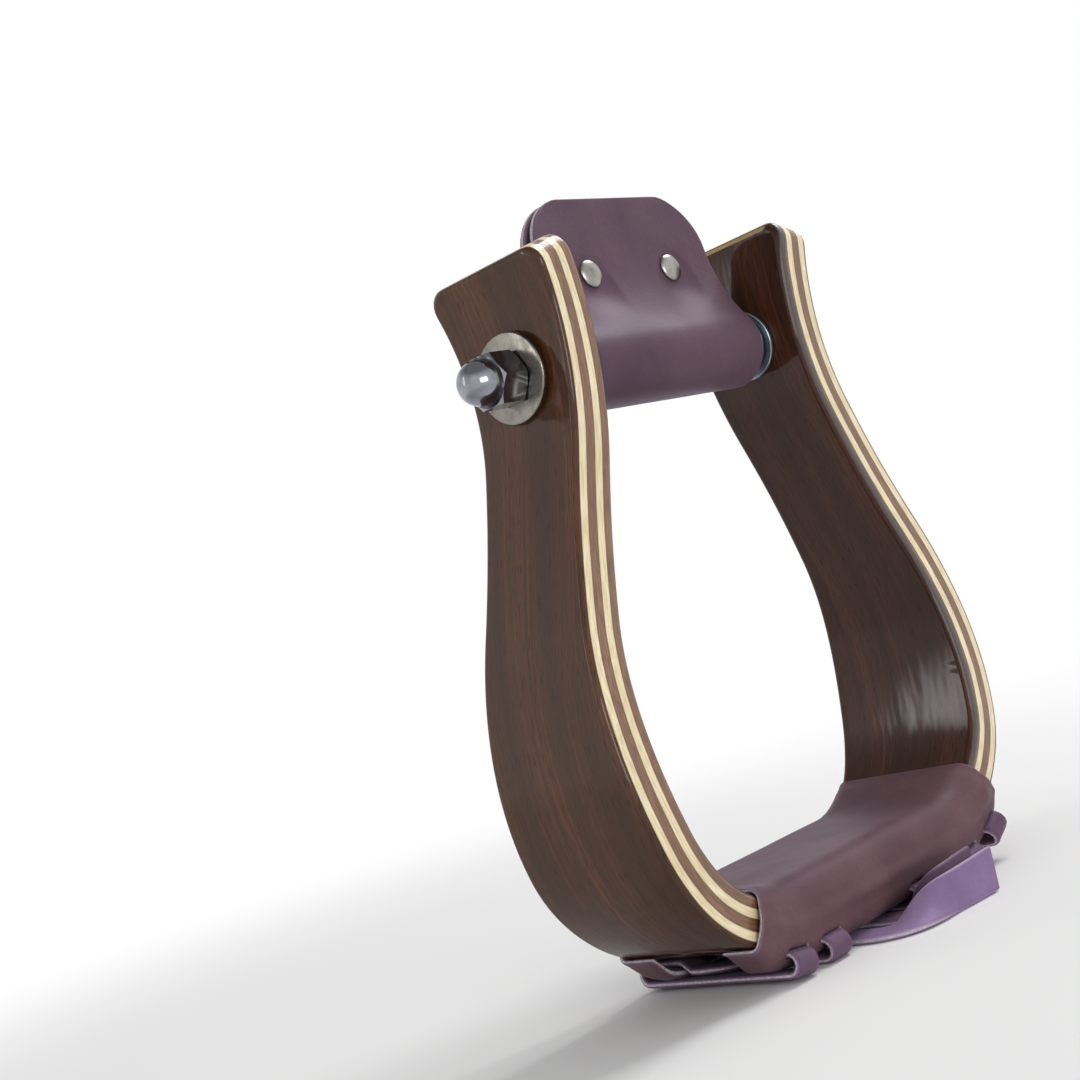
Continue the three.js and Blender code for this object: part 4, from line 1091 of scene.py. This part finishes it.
def light(name, size, level, position, target=(0, 0, 0.1), up=(0, 0, 1)):
    """A soft box, width by height, that gives a white surface facing it this level of light."""
    lamp = bpy.data.lights.new(name, "AREA")
    back = Vector(position) - Vector(target)
    lamp.shape, lamp.size, lamp.size_y = "RECTANGLE", *size
    lamp.energy = level * math.pi ** 2 * back.length ** 2
    holder = bpy.data.objects.new(name, lamp)
    bpy.context.scene.collection.objects.link(holder)
    across = Vector(up).cross(back).normalized()
    turn = Matrix((across, back.cross(across).normalized(), back.normalized())).transposed()
    holder.matrix_world = Matrix.Translation(position) @ turn.to_4x4()
    holder.visible_camera = False
    return lamp


def fade_edges(lamp):
    """Lets a soft box fall off towards its edges, as a window behind a thin curtain does."""
    lamp.use_nodes = True
    tree = lamp.node_tree
    part = add_node(tree, "ShaderNodeNewGeometry").outputs["Parametric"]
    part = add_node(tree, "ShaderNodeSeparateXYZ", {0: part})
    waves = []
    for axis in (0, 1):
        turn = add_node(tree, "ShaderNodeMath", {0: part.outputs[axis], 1: math.pi}, operation="MULTIPLY")
        waves.append(add_node(tree, "ShaderNodeMath", {0: turn.outputs[0]}, operation="SINE"))
    both = add_node(tree, "ShaderNodeMath", {0: waves[0].outputs[0], 1: waves[1].outputs[0]}, operation="MULTIPLY")
    tree.links.new(both.outputs[0], tree.nodes["Emission"].inputs["Strength"])


# The camera as solved from the photograph: where it looks, its right and its up, its place in mm, and its focal length
# in pixels of a frame 1080 wide
VIEW = Vector((0.71555, 0.69701, 0.04659))
RIGHT = Vector((0.6791, -0.6784, -0.2802))
UP = Vector((0.16372, -0.23217, 0.95880))
CAMERA_PLACE = Vector((-394.363, -317.308, 109.47))
FOCAL_PIXELS, FRAME_PIXELS, SENSOR = 1700.8, 1080, 36

light("key_light", (0.7, 0.7), 0.55, RIGHT * 0.8 + Vector((0, 0, 1.5)) + VIEW * 0.5)
light("front_fill", (1.1, 1.1), 0.6, Vector((0, 0, 0.35)) - VIEW * 1.6 + RIGHT * 0.7)
# Tall, narrow and a little tilted, behind on the left: the varnish inside the right leg mirrors it as a soft sheen
window = light("curtained_window", (0.28, 3), 0.14, (-2.72, 1.94, 1.3), (0.066, -0.018, 0.045), (0.95, 0, 2))
fade_edges(window)

world = bpy.data.worlds.new("studio_room")
bpy.context.scene.world = world
world.use_nodes = True
room = world.node_tree
background = room.nodes["Background"]
# The room lights from overhead, and where it is seen it is plain white up to a greyer ceiling
upward = add_node(room, "ShaderNodeSeparateXYZ", {0: add_node(room, "ShaderNodeTexCoord").outputs["Generated"]})
ceiling = add_node(room, "ShaderNodeMapRange", {0: upward.outputs[2], 1: 0.1, 2: 0.9, 3: 0.25, 4: 0.6})
pale = add_node(room, "ShaderNodeMapRange", {0: upward.outputs[2], 1: 0.42, 2: 0.8, 3: 1, 4: 0.3})
level = add_node(room, "ShaderNodeMix", {0: sees_background(room), 2: ceiling.outputs[0], 3: pale.outputs[0]},
                 data_type="FLOAT")
background.inputs["Color"].default_value = (1, 1, 1, 1)
room.links.new(level.outputs[0], background.inputs["Strength"])

camera = bpy.data.cameras.new("camera")
camera.sensor_width, camera.sensor_height, camera.sensor_fit = SENSOR, SENSOR, "HORIZONTAL"
camera.lens = SENSOR * FOCAL_PIXELS / FRAME_PIXELS
camera.clip_start = 0.01
camera_holder = bpy.data.objects.new("camera", camera)
bpy.context.scene.collection.objects.link(camera_holder)
camera_right = VIEW.cross(UP).normalized()
camera_up = camera_right.cross(VIEW).normalized()
facing = Matrix((camera_right, camera_up, -VIEW.normalized())).transposed()
camera_holder.matrix_world = Matrix.Translation(CAMERA_PLACE * MM) @ facing.to_4x4()
bpy.context.scene.camera = camera_holder
bpy.context.scene.view_settings.view_transform = "Standard"
